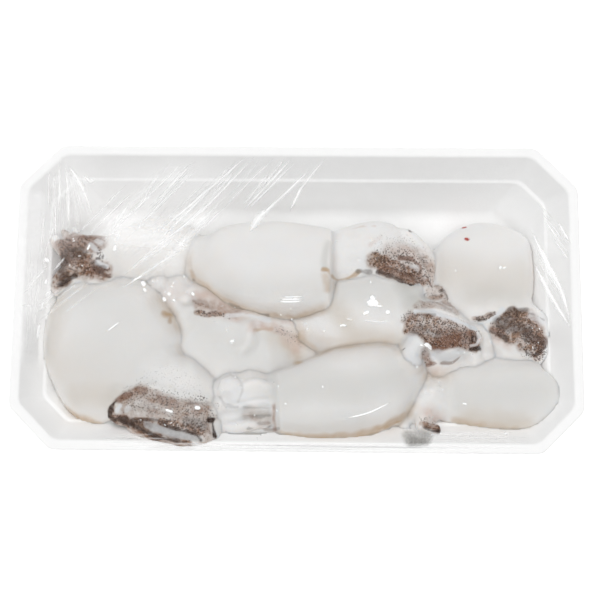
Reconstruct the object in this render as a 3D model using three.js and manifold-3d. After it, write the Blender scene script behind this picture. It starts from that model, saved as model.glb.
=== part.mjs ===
// Tray pack of whole raw squid: a white foam tray with eight small squid,
// closed with clear stretch film. Millimetres, +Z up, X along the tray,
// origin on the ground under the middle of the pack.
import * as THREE from "three";
import { mergeVertices } from "three/addons/utils/BufferGeometryUtils.js";
import Module from "manifold-3d";

const wasm = await Module();
wasm.setup();

// ---------------------------------------------------------------- dimensions

const RIM_LENGTH = 270; // outer size of the tray's rim
const RIM_WIDTH = 147;
const CORNER_CUT = 20; // the tray's corners are cut off at 45 degrees
const RIM_BAND = 4.5; // width of the flat rim
const LIP_DROP = 5; // height of the rim's outer lip
const LEDGE_DROP = 11; // the inner wall breaks at a small ledge, this far down
const LEDGE_INSET = 13.5;
const LEDGE_WIDTH = 1;
const FLOOR_INSET = 26;
const INNER_DEPTH = 30;
const FOAM = 3; // wall thickness of the tray
const FLOOR_CUT = 12; // least corner cut, at the floor
const FOOT_RECESS = 0.8; // the underside is hollowed inside a flat standing edge
const FOOT_WIDTH = 9;
const CORNER_ROUND = 3;
const EDGE_ROUND = 0.6;

const FILM = 0.5; // thickness of the film's solid
const GAP = 0.3; // clear space between touching pieces
const FILM_HEM = 44; // how far the film runs in under the tray
const RIM_REST = 1.5; // over the rim the film's solid may rise up to this inset
const END_PUFF = 2.5; // gathered film stands out past the rim at both ends
const PUFF_START = 90; // the ends' gathering begins this far from the middle
const PUFF_FULL = 120;
const FILM_RINGS = 9;
const FILM_REACH = 3; // the film rests on the highest squid this near to it
const FILM_LIFT = 1.2; // film over squid, faces of both included
const CLING_LEVEL = 27.5; // squid above this height hold the film down to them
const STRETCH_PASSES = 150; // enough for the film to come to rest

const FOOT_Z = FILM + GAP;
const FLOOR_Z = FOOT_Z + FOAM;
const RIM_Z = FLOOR_Z + INNER_DEPTH;
const LEDGE_Z = RIM_Z - LEDGE_DROP;
const ABOVE_ALL = 100;
const WELD = 1e-4; // points closer than this are one

const FOAM_WHITE = { color: 0xf4f4f3, roughness: 0.75, metalness: 0 };
const FLESH_WHITE = { color: 0xdedddb, roughness: 0.3, metalness: 0 };
const CLEAR_FILM = { color: 0xf2f4f5, roughness: 0.1, metalness: 0, transparent: true, opacity: 0.25 };

// ------------------------------------------------------------------- squid

// Every squid: mantle and head are stations [x, y, z, half width, half
// height] along the middle line, the mantle from its tip to its mouth, the
// head from inside that mouth to the crown of arms. An arm is a list of
// points with its root and tip radius. The first squid lies on top, and each
// is pressed in by those above it.
const SQUID = [
  {
    name: "squid_1",
    mantle: [
      [-54, 26, 15, 12, 9],
      [-43, 21, 16, 17, 10.5],
      [-28, 17.5, 17, 21.5, 11.5],
      [-10, 15.5, 18, 23.6, 12],
      [6, 15, 18.8, 22.2, 11.5],
      [18, 14.6, 19, 19.6, 10.5],
    ],
    head: [
      [12, 16, 17, 12, 8],
      [26, 23, 17, 14, 9],
      [39, 27, 17, 13, 8.5],
      [52, 26, 16, 10.5, 7.5],
    ],
    eyes: [[27, 28, 22, 4.5]],
    arms: [
      { path: [[44, 33, 17], [56, 31, 17], [64, 21, 16], [66, 9, 15]], root: 4.5, tip: 2.6 },
      { path: [[42, 25, 19], [53, 24, 20], [60, 15, 19], [64, 4, 17]], root: 4.5, tip: 2.4 },
      { path: [[38, 21, 18], [47, 18, 19], [54, 13, 18], [61, 6, 16]], root: 4.2, tip: 2 },
      { path: [[46, 26, 11], [56, 22, 10], [61, 13, 10], [67, 1, 13]], root: 4.5, tip: 3 },
      { path: [[62, 5, 17], [68, 4, 18], [70, -1, 18], [65, -3, 19]], root: 2.4, tip: 1.6 },
    ],
  },
  {
    name: "squid_2",
    mantle: [
      [60, -33, 23.5, 11, 8],
      [46, -38, 24, 17.3, 10.5],
      [29, -45.5, 24.2, 21.4, 11.2],
      [11, -49, 24.2, 20.2, 11.2],
      [-1, -50.4, 24, 16.8, 10.5],
      [-9, -51, 24, 14, 9],
    ],
    head: [
      [-3, -50, 22, 10, 7],
      [-15, -50.5, 23, 12.5, 8.5],
      [-25, -50, 23.5, 13, 8.5],
      [-35, -50, 22, 9, 7],
    ],
    eyes: [[-29, -42, 26, 5]],
    arms: [
      { path: [[-14, -44, 27], [-24, -40, 27], [-33, -40, 25], [-37, -46, 24]], root: 4, tip: 2.6 },
      { path: [[-12, -50, 29], [-22, -50, 30], [-31, -53, 28], [-36, -58, 25]], root: 3.8, tip: 2.4 },
      { path: [[-12, -56, 26], [-22, -60, 27], [-31, -62, 26], [-36, -58, 23]], root: 4, tip: 2.4 },
      { path: [[-10, -60, 23], [-20, -65, 25], [-30, -66, 25], [-35, -63, 25]], root: 3, tip: 2 },
    ],
  },
  {
    name: "squid_3",
    mantle: [
      [-6, -13.5, 12.5, 9, 7.5],
      [8, -9.5, 13.5, 14.5, 9.5],
      [22, -7, 14.8, 17.5, 11],
      [37, -5.6, 15.5, 18.3, 12],
      [51, -5.2, 16, 16, 11],
      [60, -6, 16.5, 12.5, 9.5],
    ],
    head: [
      [54, -7, 17, 11, 8],
      [63, -13.5, 20, 13, 9.5],
      [73, -18, 21, 12.5, 9.5],
      [84, -21, 19, 8, 7],
    ],
    eyes: [[71, -23, 26, 4]],
    arms: [
      { path: [[50, -9, 26], [61, -4, 27], [74, -9, 27], [85, -18, 25]], root: 2.6, tip: 2.2 },
      { path: [[78, -14, 22], [88, -17, 21], [91, -24, 19], [86, -30, 17]], root: 4, tip: 2.4 },
      { path: [[76, -22, 24], [84, -24, 23], [85, -30, 20], [78, -31, 18]], root: 4, tip: 2.4 },
      { path: [[60, -20, 26], [57, -26, 28], [54, -31, 28], [60, -35, 26]], root: 5, tip: 3.4 },
      { path: [[64, -22, 22], [66, -30, 22], [72, -34, 20], [79, -30, 19]], root: 4, tip: 2.2 },
    ],
  },
  {
    name: "squid_4",
    mantle: [
      [91, 41, 12, 17, 8],
      [91.5, 30, 13.5, 22.5, 10],
      [92, 18, 14.5, 24, 11],
      [93, 5, 14.5, 22.6, 10.5],
      [94, -6, 14.5, 19, 9],
    ],
    head: [
      [94, 0, 14, 13, 8],
      [100, -9, 16, 14.5, 9],
      [107, -17, 17, 12.5, 8.5],
      [113, -25, 17, 8, 6.5],
    ],
    eyes: [[103, -6, 23, 4]],
    arms: [
      { path: [[104, -6, 19], [113, -6, 20], [119, -12, 20], [120, -22, 20]], root: 5, tip: 3 },
      { path: [[108, -12, 21], [114, -17, 22], [118, -24, 21], [113, -29, 19]], root: 4.5, tip: 2.6 },
      { path: [[96, -8, 20], [87, -8, 21], [79, -11, 21], [73, -9, 19]], root: 3.2, tip: 2 },
      { path: [[95, -13, 18], [87, -16, 19], [82, -23, 18], [88, -28, 16]], root: 3.6, tip: 2.2 },
      { path: [[97, -12, 20], [98, -20, 20], [105, -26, 19], [111, -30, 18]], root: 4.5, tip: 2.4 },
    ],
  },
  {
    name: "squid_5",
    mantle: [
      [128, -43.5, 23.5, 9, 6.5],
      [115, -45, 20.5, 15, 9.5],
      [100, -46, 18, 17.4, 11],
      [84, -46.5, 17, 15.6, 10.5],
      [71, -46.5, 17.5, 11.5, 9],
    ],
    head: [
      [76, -47, 17, 9.5, 7],
      [67, -48, 19, 10.5, 8],
      [61, -53, 21, 8.5, 7],
      [59, -60, 23, 6, 5],
    ],
    eyes: [[66, -44, 24, 3.5]],
    arms: [
      { path: [[68, -44, 20], [63, -41, 21], [62, -37, 20], [67, -35, 18]], root: 4, tip: 2.2 },
      { path: [[64, -52, 24], [60, -58, 26], [63, -64, 27], [68, -61, 26]], root: 4, tip: 2.6 },
      { path: [[60, -52, 20], [54, -56, 21], [52, -62, 23], [57, -65, 25]], root: 3.6, tip: 2.2 },
    ],
  },
  {
    name: "squid_6",
    mantle: [
      [-100, 10, 14, 20, 9],
      [-96, -4, 17, 28.5, 12],
      [-90.5, -21, 18.5, 32.5, 13],
      [-84.5, -38, 18.5, 30.5, 12.5],
      [-76, -51, 18, 20, 10],
    ],
    head: [
      [-72, -42, 23, 12, 7],
      [-63, -40, 25, 13, 8],
      [-53, -45, 24.5, 13, 8],
      [-43, -54, 23, 9.5, 7],
    ],
    eyes: [[-56, -37, 29, 4]],
    arms: [
      { path: [[-40, -50, 26], [-53, -48, 29], [-70, -45, 30], [-84, -50, 28]], root: 5, tip: 3.8 },
      { path: [[-36, -56, 27], [-52, -54, 31], [-70, -51, 31], [-87, -55, 27]], root: 5.2, tip: 3.8 },
      { path: [[-35, -62, 28], [-52, -61, 32], [-70, -58, 31], [-86, -59, 27]], root: 5, tip: 3.6 },
      { path: [[-36, -66, 29], [-50, -67, 33], [-66, -65.5, 31.5], [-80, -61, 27]], root: 4.6, tip: 3.2 },
      { path: [[-38, -59, 21], [-52, -60, 23], [-66, -57, 23], [-80, -55, 22]], root: 7, tip: 6 },
    ],
  },
  {
    name: "squid_7",
    mantle: [
      [-4, -30, 13, 11, 7.5],
      [-16, -28.5, 13.8, 17, 9.5],
      [-30, -27, 14.3, 19.8, 10.5],
      [-44, -24, 14.3, 17.5, 10.2],
      [-54, -18, 14, 11.5, 8.5],
    ],
    head: [
      [-50, -20, 13, 9, 7],
      [-54, -9, 13.5, 9.5, 8],
      [-58, 1, 14.5, 11.5, 9],
      [-62, 11, 14, 9.5, 7.5],
    ],
    eyes: [[-54, 0, 22, 4]],
    arms: [
      { path: [[-56, 4, 20], [-46, 2, 21], [-38, -4, 21], [-30, -8, 20]], root: 4, tip: 2.6 },
      { path: [[-52, -2, 17], [-40, -6, 19], [-26, -10, 20], [-14, -12, 20]], root: 4, tip: 2.2 },
      { path: [[-28, -9, 20], [-23, -13, 22], [-23, -20, 24], [-26, -25, 24.5]], root: 1.8, tip: 1.2 },
      { path: [[-64, 8, 19], [-70, 5, 20], [-70, -2, 19], [-64, -4, 17]], root: 4, tip: 2.6 },
      { path: [[-24, -10, 18], [-13, -11, 18], [-4, -13, 17], [3, -17, 16]], root: 4.6, tip: 3.4 },
    ],
  },
  {
    name: "squid_8",
    mantle: [
      [-45, 27, 12, 11, 7],
      [-58, 25.5, 13, 15.5, 9],
      [-71, 24, 13.6, 17.8, 9.8],
      [-84, 21.5, 13.6, 15, 9.5],
      [-93, 20, 13.6, 11.5, 8.5],
    ],
    head: [
      [-88, 20, 13.5, 10, 7.5],
      [-98, 19.5, 15, 12.5, 9],
      [-108, 18.5, 16, 12, 8.5],
      [-117, 17, 17, 8, 6.5],
    ],
    eyes: [[-97, 27, 22, 3.5]],
    arms: [
      { path: [[-100, 24, 20], [-106, 29, 22], [-111, 32, 22], [-115, 36, 21]], root: 4.6, tip: 2.4 },
      { path: [[-96, 26, 18], [-99, 31, 19], [-104, 35, 19], [-106, 39, 18]], root: 4.6, tip: 2 },
      { path: [[-105, 18, 21], [-112, 22, 23], [-117, 26, 23], [-120, 31, 22]], root: 4.6, tip: 2.2 },
      { path: [[-103, 14, 20], [-110, 13, 22], [-116, 9, 22], [-118, 2, 21]], root: 5, tip: 2.4 },
      { path: [[-98, 14, 19], [-99, 10, 22], [-93, 8, 22], [-89, 7, 20]], root: 4.6, tip: 2.2 },
    ],
  },
];

const MANTLE_SIDES = 14;
const MANTLE_STEPS = 10;
const HEAD_SIDES = 10;
const HEAD_STEPS = 6;
const ARM_SIDES = 6;
const ARM_STEPS = 5;
const EYE_SIDES = 8;
const TIP_ROUND = 0.3; // share of a mantle's length that rounds off its tip
const MOUTH_ROUND = 0.05; // the mouth ends almost square
const END_ROUND = 0.2;
const MANTLE_FULLNESS = 0.8; // below 1 a section is fuller than an ellipse

// ------------------------------------------------------------ solid helpers

// A closed solid from rings of equally many points, closed by a fan at each
// end. Rings run anticlockwise seen against the way they are stacked. Each
// four-sided face is split along its shorter diagonal.
function stackRings(rings, firstPole, lastPole) {
  const count = rings[0].length;
  const points = [...rings.flat(), firstPole, lastPole];
  const first = points.length - 2;
  const last = points.length - 1;
  const faces = [];
  for (let r = 0; r + 1 < rings.length; r++)
    for (let i = 0; i < count; i++) {
      const a = r * count + i;
      const b = r * count + ((i + 1) % count);
      const rising = points[a].distanceTo(points[b + count]);
      const falling = points[b].distanceTo(points[a + count]);
      if (rising < falling) faces.push(a, b, b + count, a, b + count, a + count);
      else faces.push(a, b, a + count, b, b + count, a + count);
    }
  const top = (rings.length - 1) * count;
  for (let i = 0; i < count; i++) {
    const j = (i + 1) % count;
    faces.push(first, j, i);
    faces.push(last, top + i, top + j);
  }
  const geometry = new THREE.BufferGeometry().setFromPoints(points);
  geometry.setIndex(faces);
  return geometry;
}

function toSolid(geometry) {
  const bare = geometry.clone();
  bare.deleteAttribute("normal");
  bare.deleteAttribute("uv");
  const merged = mergeVertices(bare, WELD);
  return new wasm.Manifold(
    new wasm.Mesh({
      numProp: 3,
      vertProperties: new Float32Array(merged.attributes.position.array),
      triVerts: new Uint32Array(merged.index.array),
    }),
  );
}

function toGeometry(solid) {
  const mesh = solid.getMesh();
  const geometry = new THREE.BufferGeometry();
  geometry.setAttribute("position", new THREE.BufferAttribute(mesh.vertProperties, mesh.numProp));
  geometry.setIndex(new THREE.BufferAttribute(mesh.triVerts, 1));
  return geometry;
}

const join = (solids) => solids.reduce((whole, next) => whole.add(next));

function largestBody(solid) {
  return solid.decompose().reduce((best, body) => (body.volume() > best.volume() ? body : best));
}

// Half of a rounded end's outline: 0 at the pole, 1 from `length` on.
const roundedEnd = (t, length) => (t >= length ? 1 : Math.sqrt(1 - (1 - t / length) ** 2));

// A superellipse's coordinate for the cosine or sine of its angle.
const fuller = (c, fullness) => Math.sign(c) * Math.abs(c) ** fullness;

// A soft body along stations [x, y, z, half width, half height], its width
// level with the ground.
function softBody(stations, { sides, steps, startRound, endRound, fullness = 1, grow = 0 }) {
  const line = new THREE.CatmullRomCurve3(
    stations.map(([x, y, z]) => new THREE.Vector3(x, y, z)),
    false,
    "catmullrom",
  );
  const size = new THREE.CatmullRomCurve3(
    stations.map(([, , , w, h]) => new THREE.Vector3(w, h, 0)),
    false,
    "catmullrom",
  );
  const rings = [];
  for (let s = 0; s < steps; s++) {
    const t = (1 - Math.cos((Math.PI * (s + 0.5)) / steps)) / 2;
    const centre = line.getPoint(t);
    const along = line.getTangent(t);
    const side = new THREE.Vector3(-along.y, along.x, 0).normalize();
    const up = new THREE.Vector3().crossVectors(along, side).normalize();
    const taper = roundedEnd(t, startRound) * roundedEnd(1 - t, endRound);
    const half = size.getPoint(t);
    const ring = [];
    for (let i = 0; i < sides; i++) {
      const angle = (2 * Math.PI * i) / sides;
      ring.push(
        centre
          .clone()
          .addScaledVector(side, (half.x * taper + grow) * fuller(Math.cos(angle), fullness))
          .addScaledVector(up, (half.y * taper + grow) * fuller(Math.sin(angle), fullness)),
      );
    }
    rings.push(ring);
  }
  const startOut = line.getTangent(0).multiplyScalar(-grow);
  const endOut = line.getTangent(1).multiplyScalar(grow);
  return toSolid(stackRings(rings, line.getPoint(0).add(startOut), line.getPoint(1).add(endOut)));
}

// ------------------------------------------------------------ squid solids

function makeArm({ path, root, tip }, grow) {
  const stations = path.map(([x, y, z], i) => {
    const radius = THREE.MathUtils.lerp(root, tip, i / (path.length - 1));
    return [x, y, z, radius, radius];
  });
  const form = { sides: ARM_SIDES, steps: ARM_STEPS, startRound: END_ROUND, endRound: END_ROUND, grow };
  return softBody(stations, form);
}

function makeEye([x, y, z, radius], grow) {
  return toSolid(new THREE.SphereGeometry(radius + grow, EYE_SIDES, EYE_SIDES / 2).translate(x, y, z));
}

function makeSquid({ mantle, head, eyes, arms }, grow = 0) {
  const mantleForm = {
    sides: MANTLE_SIDES,
    steps: MANTLE_STEPS,
    startRound: TIP_ROUND,
    endRound: MOUTH_ROUND,
    fullness: MANTLE_FULLNESS,
    grow,
  };
  const headForm = {
    sides: HEAD_SIDES,
    steps: HEAD_STEPS,
    startRound: END_ROUND,
    endRound: END_ROUND,
    grow,
  };
  return join([
    softBody(mantle, mantleForm),
    softBody(head, headForm),
    ...eyes.map((eye) => makeEye(eye, grow)),
    ...arms.map((arm) => makeArm(arm, grow)),
  ]);
}

// ------------------------------------------------------------- tray outline

// One level outline of the tray, `inset` inside the rim's outer edge: an
// oblong with its corners cut off and, where wanted, slightly rounded, and
// with extra points on its sides.
function trayOutline(inset, z, { longSteps = 0, endSteps = 0, rounded = true } = {}) {
  const a = RIM_LENGTH / 2 - inset;
  const b = RIM_WIDTH / 2 - inset;
  const c = Math.max(FLOOR_CUT, CORNER_CUT - (2 - Math.SQRT2) * inset);
  const corners = [
    [a, c - b],
    [a, b - c],
    [a - c, b],
    [c - a, b],
    [-a, b - c],
    [-a, c - b],
    [c - a, -b],
    [a - c, -b],
  ].map(([x, y]) => new THREE.Vector3(x, y, z));
  const stepsAfter = [endSteps, 0, longSteps, 0, endSteps, 0, longSteps, 0];
  const ring = [];
  corners.forEach((corner, i) => {
    const before = corners[(i + 7) % 8];
    const after = corners[(i + 1) % 8];
    if (rounded) {
      const arcStart = corner.clone().add(before.clone().sub(corner).setLength(CORNER_ROUND));
      const arcEnd = corner.clone().add(after.clone().sub(corner).setLength(CORNER_ROUND));
      const middle = arcStart.clone().add(arcEnd).add(corner).add(corner).multiplyScalar(0.25);
      ring.push(arcStart, middle, arcEnd);
    } else ring.push(corner);
    for (let s = 1; s <= stepsAfter[i]; s++)
      ring.push(corner.clone().lerp(after, s / (stepsAfter[i] + 1)));
  });
  return ring;
}

// --------------------------------------------------------------------- tray

// The tray's profile from the middle of its floor, over the rim, to the
// middle of its underside, as [inset, z].
const FOOT_INSET = FLOOR_INSET - FOAM;
const INNER_PROFILE = [
  [FLOOR_INSET + 4, FLOOR_Z],
  [FLOOR_INSET + 1, FLOOR_Z + 0.7],
  [FLOOR_INSET - 1, FLOOR_Z + 2.6],
  [LEDGE_INSET + LEDGE_WIDTH, LEDGE_Z - 0.3],
  [LEDGE_INSET, LEDGE_Z],
  [RIM_BAND + 0.3, RIM_Z - EDGE_ROUND],
  [RIM_BAND - 0.4, RIM_Z],
];
const OUTER_PROFILE = [
  [EDGE_ROUND, RIM_Z],
  [0, RIM_Z - EDGE_ROUND],
  [0, RIM_Z - LIP_DROP],
  [2 * EDGE_ROUND, RIM_Z - LIP_DROP - EDGE_ROUND],
  [RIM_BAND + 1.5, RIM_Z - LIP_DROP - 1.6],
  [LEDGE_INSET + LEDGE_WIDTH - FOAM, LEDGE_Z - 2],
  [FOOT_INSET, FOOT_Z + 1.6],
  [FOOT_INSET + 1.4, FOOT_Z],
  [FLOOR_INSET + FOOT_WIDTH, FOOT_Z],
  [FLOOR_INSET + FOOT_WIDTH + 2, FOOT_Z + FOOT_RECESS],
];

function makeTray(grow = 0) {
  const inner = INNER_PROFILE.map(([inset, z]) => [inset + grow, z + grow]);
  const [rimTop, ...outer] = OUTER_PROFILE;
  const profile = [...inner, [rimTop[0], rimTop[1] + grow], ...outer];
  const rings = profile.map(([inset, z]) => trayOutline(inset, z).reverse());
  const floor = new THREE.Vector3(0, 0, FLOOR_Z + grow);
  const underside = new THREE.Vector3(0, 0, FOOT_Z + FOOT_RECESS);
  return toSolid(stackRings(rings, floor, underside));
}

// --------------------------------------------------------------------- film

const FILM_SIDES = { longSteps: 9, endSteps: 5, rounded: false };

// The height that film needs over the pile at a point.
function filmNeeds(squidSolids) {
  const skin = new THREE.MeshBasicMaterial({ side: THREE.DoubleSide });
  const pile = squidSolids.map((solid) => new THREE.Mesh(toGeometry(solid), skin));
  const caster = new THREE.Raycaster();
  const down = new THREE.Vector3(0, 0, -1);
  const topOf = (x, y) => {
    caster.set(new THREE.Vector3(x, y, ABOVE_ALL), down);
    const hits = caster.intersectObjects(pile, false);
    return hits.length ? hits[0].point.z : 0;
  };
  const around = [
    [0, 0],
    [FILM_REACH, 0],
    [-FILM_REACH, 0],
    [0, FILM_REACH],
    [0, -FILM_REACH],
  ];
  return (p) => Math.max(...around.map(([dx, dy]) => topOf(p.x + dx, p.y + dy))) + FILM_LIFT;
}

// Heights of the stretched film over the pile, on outlines that shrink to
// the middle of the pack. It is level with the rim, lies over what stands
// higher and clings to the squid that come near it.
function stretchFilm(squidSolids) {
  const needAt = filmNeeds(squidSolids);
  const rimEdge = trayOutline(RIM_BAND, RIM_Z + GAP, FILM_SIDES);
  const rings = [];
  for (let r = 1; r <= FILM_RINGS; r++)
    rings.push(rimEdge.map((p) => new THREE.Vector3((p.x * r) / FILM_RINGS, (p.y * r) / FILM_RINGS, p.z)));
  const overRim = trayOutline(RIM_REST, RIM_Z + GAP, FILM_SIDES);
  [rings.at(-1), overRim].forEach((ring) =>
    ring.forEach((p) => (p.z = Math.max(RIM_Z + GAP, needAt(p)))),
  );
  const middle = new THREE.Vector3(0, 0, RIM_Z + GAP);
  const free = rings.slice(0, -1);
  const need = free.map((ring) => ring.map(needAt));
  const middleNeed = needAt(middle);
  const settle = (mean, height) => (height > CLING_LEVEL ? height : Math.max(mean, height));
  for (let pass = 0; pass < STRETCH_PASSES; pass++) {
    free.forEach((ring, r) =>
      ring.forEach((p, i) => {
        const inner = r ? rings[r - 1][i].z : middle.z;
        const beside = ring[(i + 1) % ring.length].z + ring.at(i - 1).z;
        p.z = settle((inner + rings[r + 1][i].z + beside) / 4, need[r][i]);
      }),
    );
    middle.z = settle(rings[0].reduce((sum, p) => sum + p.z, 0) / rings[0].length, middleNeed);
  }
  return { middle, rings: [...rings, overRim, trayOutline(-GAP, RIM_Z + GAP, FILM_SIDES)] };
}

// The film's sides, from the rim's lip to the edge of the tray's foot, as
// [inset, z, how far the gathering at the ends pulls it out].
const SIDE_PROFILE = [
  [-GAP, RIM_Z - LIP_DROP, 0.8],
  [4, RIM_Z - 11, 4 + END_PUFF],
  [12, RIM_Z - 20, 6],
  [FOOT_INSET - 1, FOOT_Z + 1.2, 0],
];

// `out` is the distance of the sides' face from the film's inner face.
function filmSides(out) {
  const sides = SIDE_PROFILE.map(([inset, z, puff]) => {
    const ring = trayOutline(inset - out, z, FILM_SIDES);
    ring.forEach((p) => {
      const end = THREE.MathUtils.smoothstep(Math.abs(p.x), PUFF_START, PUFF_FULL);
      p.x += Math.sign(p.x) * puff * end * (1 - (p.y / RIM_WIDTH) ** 2);
    });
    return ring;
  });
  return [...sides, trayOutline(FOOT_INSET - EDGE_ROUND - out, FILM - out, FILM_SIDES)];
}

// A closed sheet: its outer face from the middle of the top to the hem under
// the tray, and its inner face back. The middle of the underside stays open.
function makeFilm({ middle, rings }, grow = 0) {
  const hem = (z) => trayOutline(FOOT_INSET + FILM_HEM, z, FILM_SIDES);
  const raise = (p) => new THREE.Vector3(p.x, p.y, p.z + FILM);
  const lastRing = rings.length - 1;
  const outerTop = rings.map((ring, r) =>
    r < lastRing ? ring.map(raise) : trayOutline(-GAP - FILM, RIM_Z + GAP + FILM / 2, FILM_SIDES),
  );
  const outside = [...outerTop, ...filmSides(FILM), hem(0)];
  const low = (p) => new THREE.Vector3(p.x, p.y, p.z - grow);
  const insideTop = rings.map((ring, r) => (r < lastRing ? ring.map(low) : ring));
  const inside = [...insideTop, ...filmSides(0), hem(FILM)].reverse();
  const loop = [...outside, ...inside].map((ring) => ring.slice().reverse());
  return toSolid(stackRings(loop, raise(middle), low(middle)));
}

// ----------------------------------------------------------------- assembly

function named(name, solid, look) {
  const mesh = new THREE.Mesh(toGeometry(solid), new THREE.MeshStandardMaterial(look));
  mesh.name = name;
  return mesh;
}

const pack = new THREE.Group();
const film = stretchFilm(SQUID.map((squid) => makeSquid(squid)));
const casing = makeTray(GAP).add(makeFilm(film, GAP));

pack.add(named("foam_tray", makeTray(), FOAM_WHITE));
SQUID.forEach((squid, i) => {
  const above = SQUID.slice(0, i).map((other) => makeSquid(other, GAP));
  const pressed = makeSquid(squid).subtract(join([casing, ...above]));
  pack.add(named(squid.name, largestBody(pressed), FLESH_WHITE));
});
pack.add(named("film_wrap", makeFilm(film), CLEAR_FILM));

export default pack;
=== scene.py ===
"""Tray pack of whole raw squid: foam tray, eight wet squid, clear stretch film.

Lengths are millimetres, as in the CAD part, until a mesh is made in metres.
"""
import math

import bpy
import numpy as np
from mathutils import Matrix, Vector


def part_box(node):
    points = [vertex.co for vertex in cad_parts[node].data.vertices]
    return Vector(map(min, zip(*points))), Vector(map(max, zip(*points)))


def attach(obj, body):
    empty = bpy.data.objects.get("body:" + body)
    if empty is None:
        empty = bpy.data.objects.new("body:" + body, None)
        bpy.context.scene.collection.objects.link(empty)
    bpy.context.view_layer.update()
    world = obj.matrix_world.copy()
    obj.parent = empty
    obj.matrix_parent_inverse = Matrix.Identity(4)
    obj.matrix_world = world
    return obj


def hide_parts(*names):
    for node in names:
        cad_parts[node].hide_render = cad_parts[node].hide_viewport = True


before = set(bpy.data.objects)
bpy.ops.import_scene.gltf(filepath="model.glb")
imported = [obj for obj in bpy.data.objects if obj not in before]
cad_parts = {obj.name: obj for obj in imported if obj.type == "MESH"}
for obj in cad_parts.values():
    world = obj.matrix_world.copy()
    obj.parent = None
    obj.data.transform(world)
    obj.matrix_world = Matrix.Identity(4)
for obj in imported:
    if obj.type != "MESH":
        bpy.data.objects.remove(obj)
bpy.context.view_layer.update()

import openvdb
from mathutils import Matrix, Vector

MM = 0.001

# ------------------------------------------------------------- tray and film

RIM_LENGTH = 270.0
RIM_WIDTH = 147.0
CORNER_CUT = 20.0
FLOOR_CUT = 12.0
CORNER_ROUND = 3.0
RIM_BAND = 4.5
LIP_DROP = 5.0
LEDGE_INSET = 13.5
LEDGE_WIDTH = 1.0
FLOOR_INSET = 26.0
FOAM = 3.0
FOOT_INSET = FLOOR_INSET - FOAM
FOOT_WIDTH = 9.0
FOOT_RECESS = 0.8
FOOT_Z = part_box("foam_tray")[0].z / MM
RIM_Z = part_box("foam_tray")[1].z / MM
FLOOR_Z = FOOT_Z + FOAM
LEDGE_DROP = 11.0
LEDGE_Z = RIM_Z - LEDGE_DROP

# --------------------------------------------------------------------- squid

# Much as in the CAD part: mantle and head are stations [x, y, z, half width,
# half height], an arm is (path, root radius, tip radius), an eye [x, y, z, radius].
# Every squid presses into those that come after it.
SQUID = {}
SQUID["squid_1"] = {
    "mantle": [
        [-54, 26, 15, 12, 9],
        [-43, 21, 16, 17, 10.5],
        [-28, 17.5, 17, 21.5, 11.5],
        [-10, 15.5, 18, 23.6, 12],
        [6, 15, 18.8, 22.2, 11.5],
        [18, 14.6, 19, 19.6, 10.5],
    ],
    "firm_mouth": True,
    "head": [
        [12, 16, 17, 12, 8], [26, 23, 17, 14, 9],
        [39, 27, 17, 13, 8.5], [52, 26, 16, 10.5, 7.5],
    ],
    "eyes": [[27, 28, 22, 4.5]],
    "arms": [
        ([[44, 33, 17], [56, 31, 17], [64, 21, 16], [66, 9, 15]], 4.5, 2.6),
        ([[42, 25, 19], [53, 24, 20], [60, 15, 19], [64, 4, 17]], 4.5, 2.4),
        ([[38, 21, 18], [47, 18, 19], [54, 13, 18], [61, 6, 16]], 4.2, 2.0),
        ([[46, 26, 11], [56, 22, 10], [61, 13, 10], [67, 1, 13]], 4.5, 3.0),
        (
            [[61, 1, 19], [64, 4.5, 20], [69, 4.5, 20.5], [72, 1, 20], [69, -2, 20], [64, -1.5, 20]],
            1.7, 1.2,
        ),
        ([[64, 1.5, 18], [69, 1.5, 18.5]], 3.0, 2.6),
        ([[72, -2, 19], [75, -6, 20], [80, -9, 20]], 2.6, 1.6),
        ([[36, 17, 17], [44, 14, 20.5], [51, 10.5, 21.5], [57.5, 6.5, 20]], 4.4, 2.6),
    ],
}
SQUID["squid_2"] = {
    "mantle": [
        [60, -33, 23.5, 11, 8],
        [46, -38, 24, 17.3, 10.5],
        [29, -45.5, 24.2, 21.4, 11.2],
        [11, -49, 24.2, 20.2, 11.2],
        [-1, -50.4, 24, 16.8, 10.5],
        [-9, -51, 24, 14, 9],
    ],
    "head": [
        [-3, -50, 22, 10, 7], [-15, -50.5, 23, 12.5, 8.5],
        [-25, -50, 23.5, 13, 8.5], [-35, -50, 22, 9, 7],
    ],
    "eyes": [[-30.5, -43.5, 26.5, 7]],
    "arms": [
        ([[-12, -44, 27.5], [-18, -42, 29], [-23, -43, 29.5], [-26, -48, 29]], 3.2, 2.0),
        ([[-11, -50, 29.5], [-18, -50.5, 31], [-26, -52, 31], [-34, -52.5, 28]], 2.8, 1.8),
        ([[-11, -54, 29], [-18, -54.5, 31], [-26, -56.5, 31], [-34, -58, 28]], 2.4, 1.6),
        ([[-11, -58, 27.5], [-20, -60, 29.5], [-28, -62, 29], [-35, -61, 26]], 3.0, 2.2),
        ([[-8, -63, 24.5], [-18, -64.5, 26.5], [-28, -66, 27], [-35, -64, 25]], 2.4, 1.6),
        ([[-30, -50, 28], [-36, -53, 27], [-38, -58, 26], [-35, -63, 25]], 3.4, 2.6),
    ],
}
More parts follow.
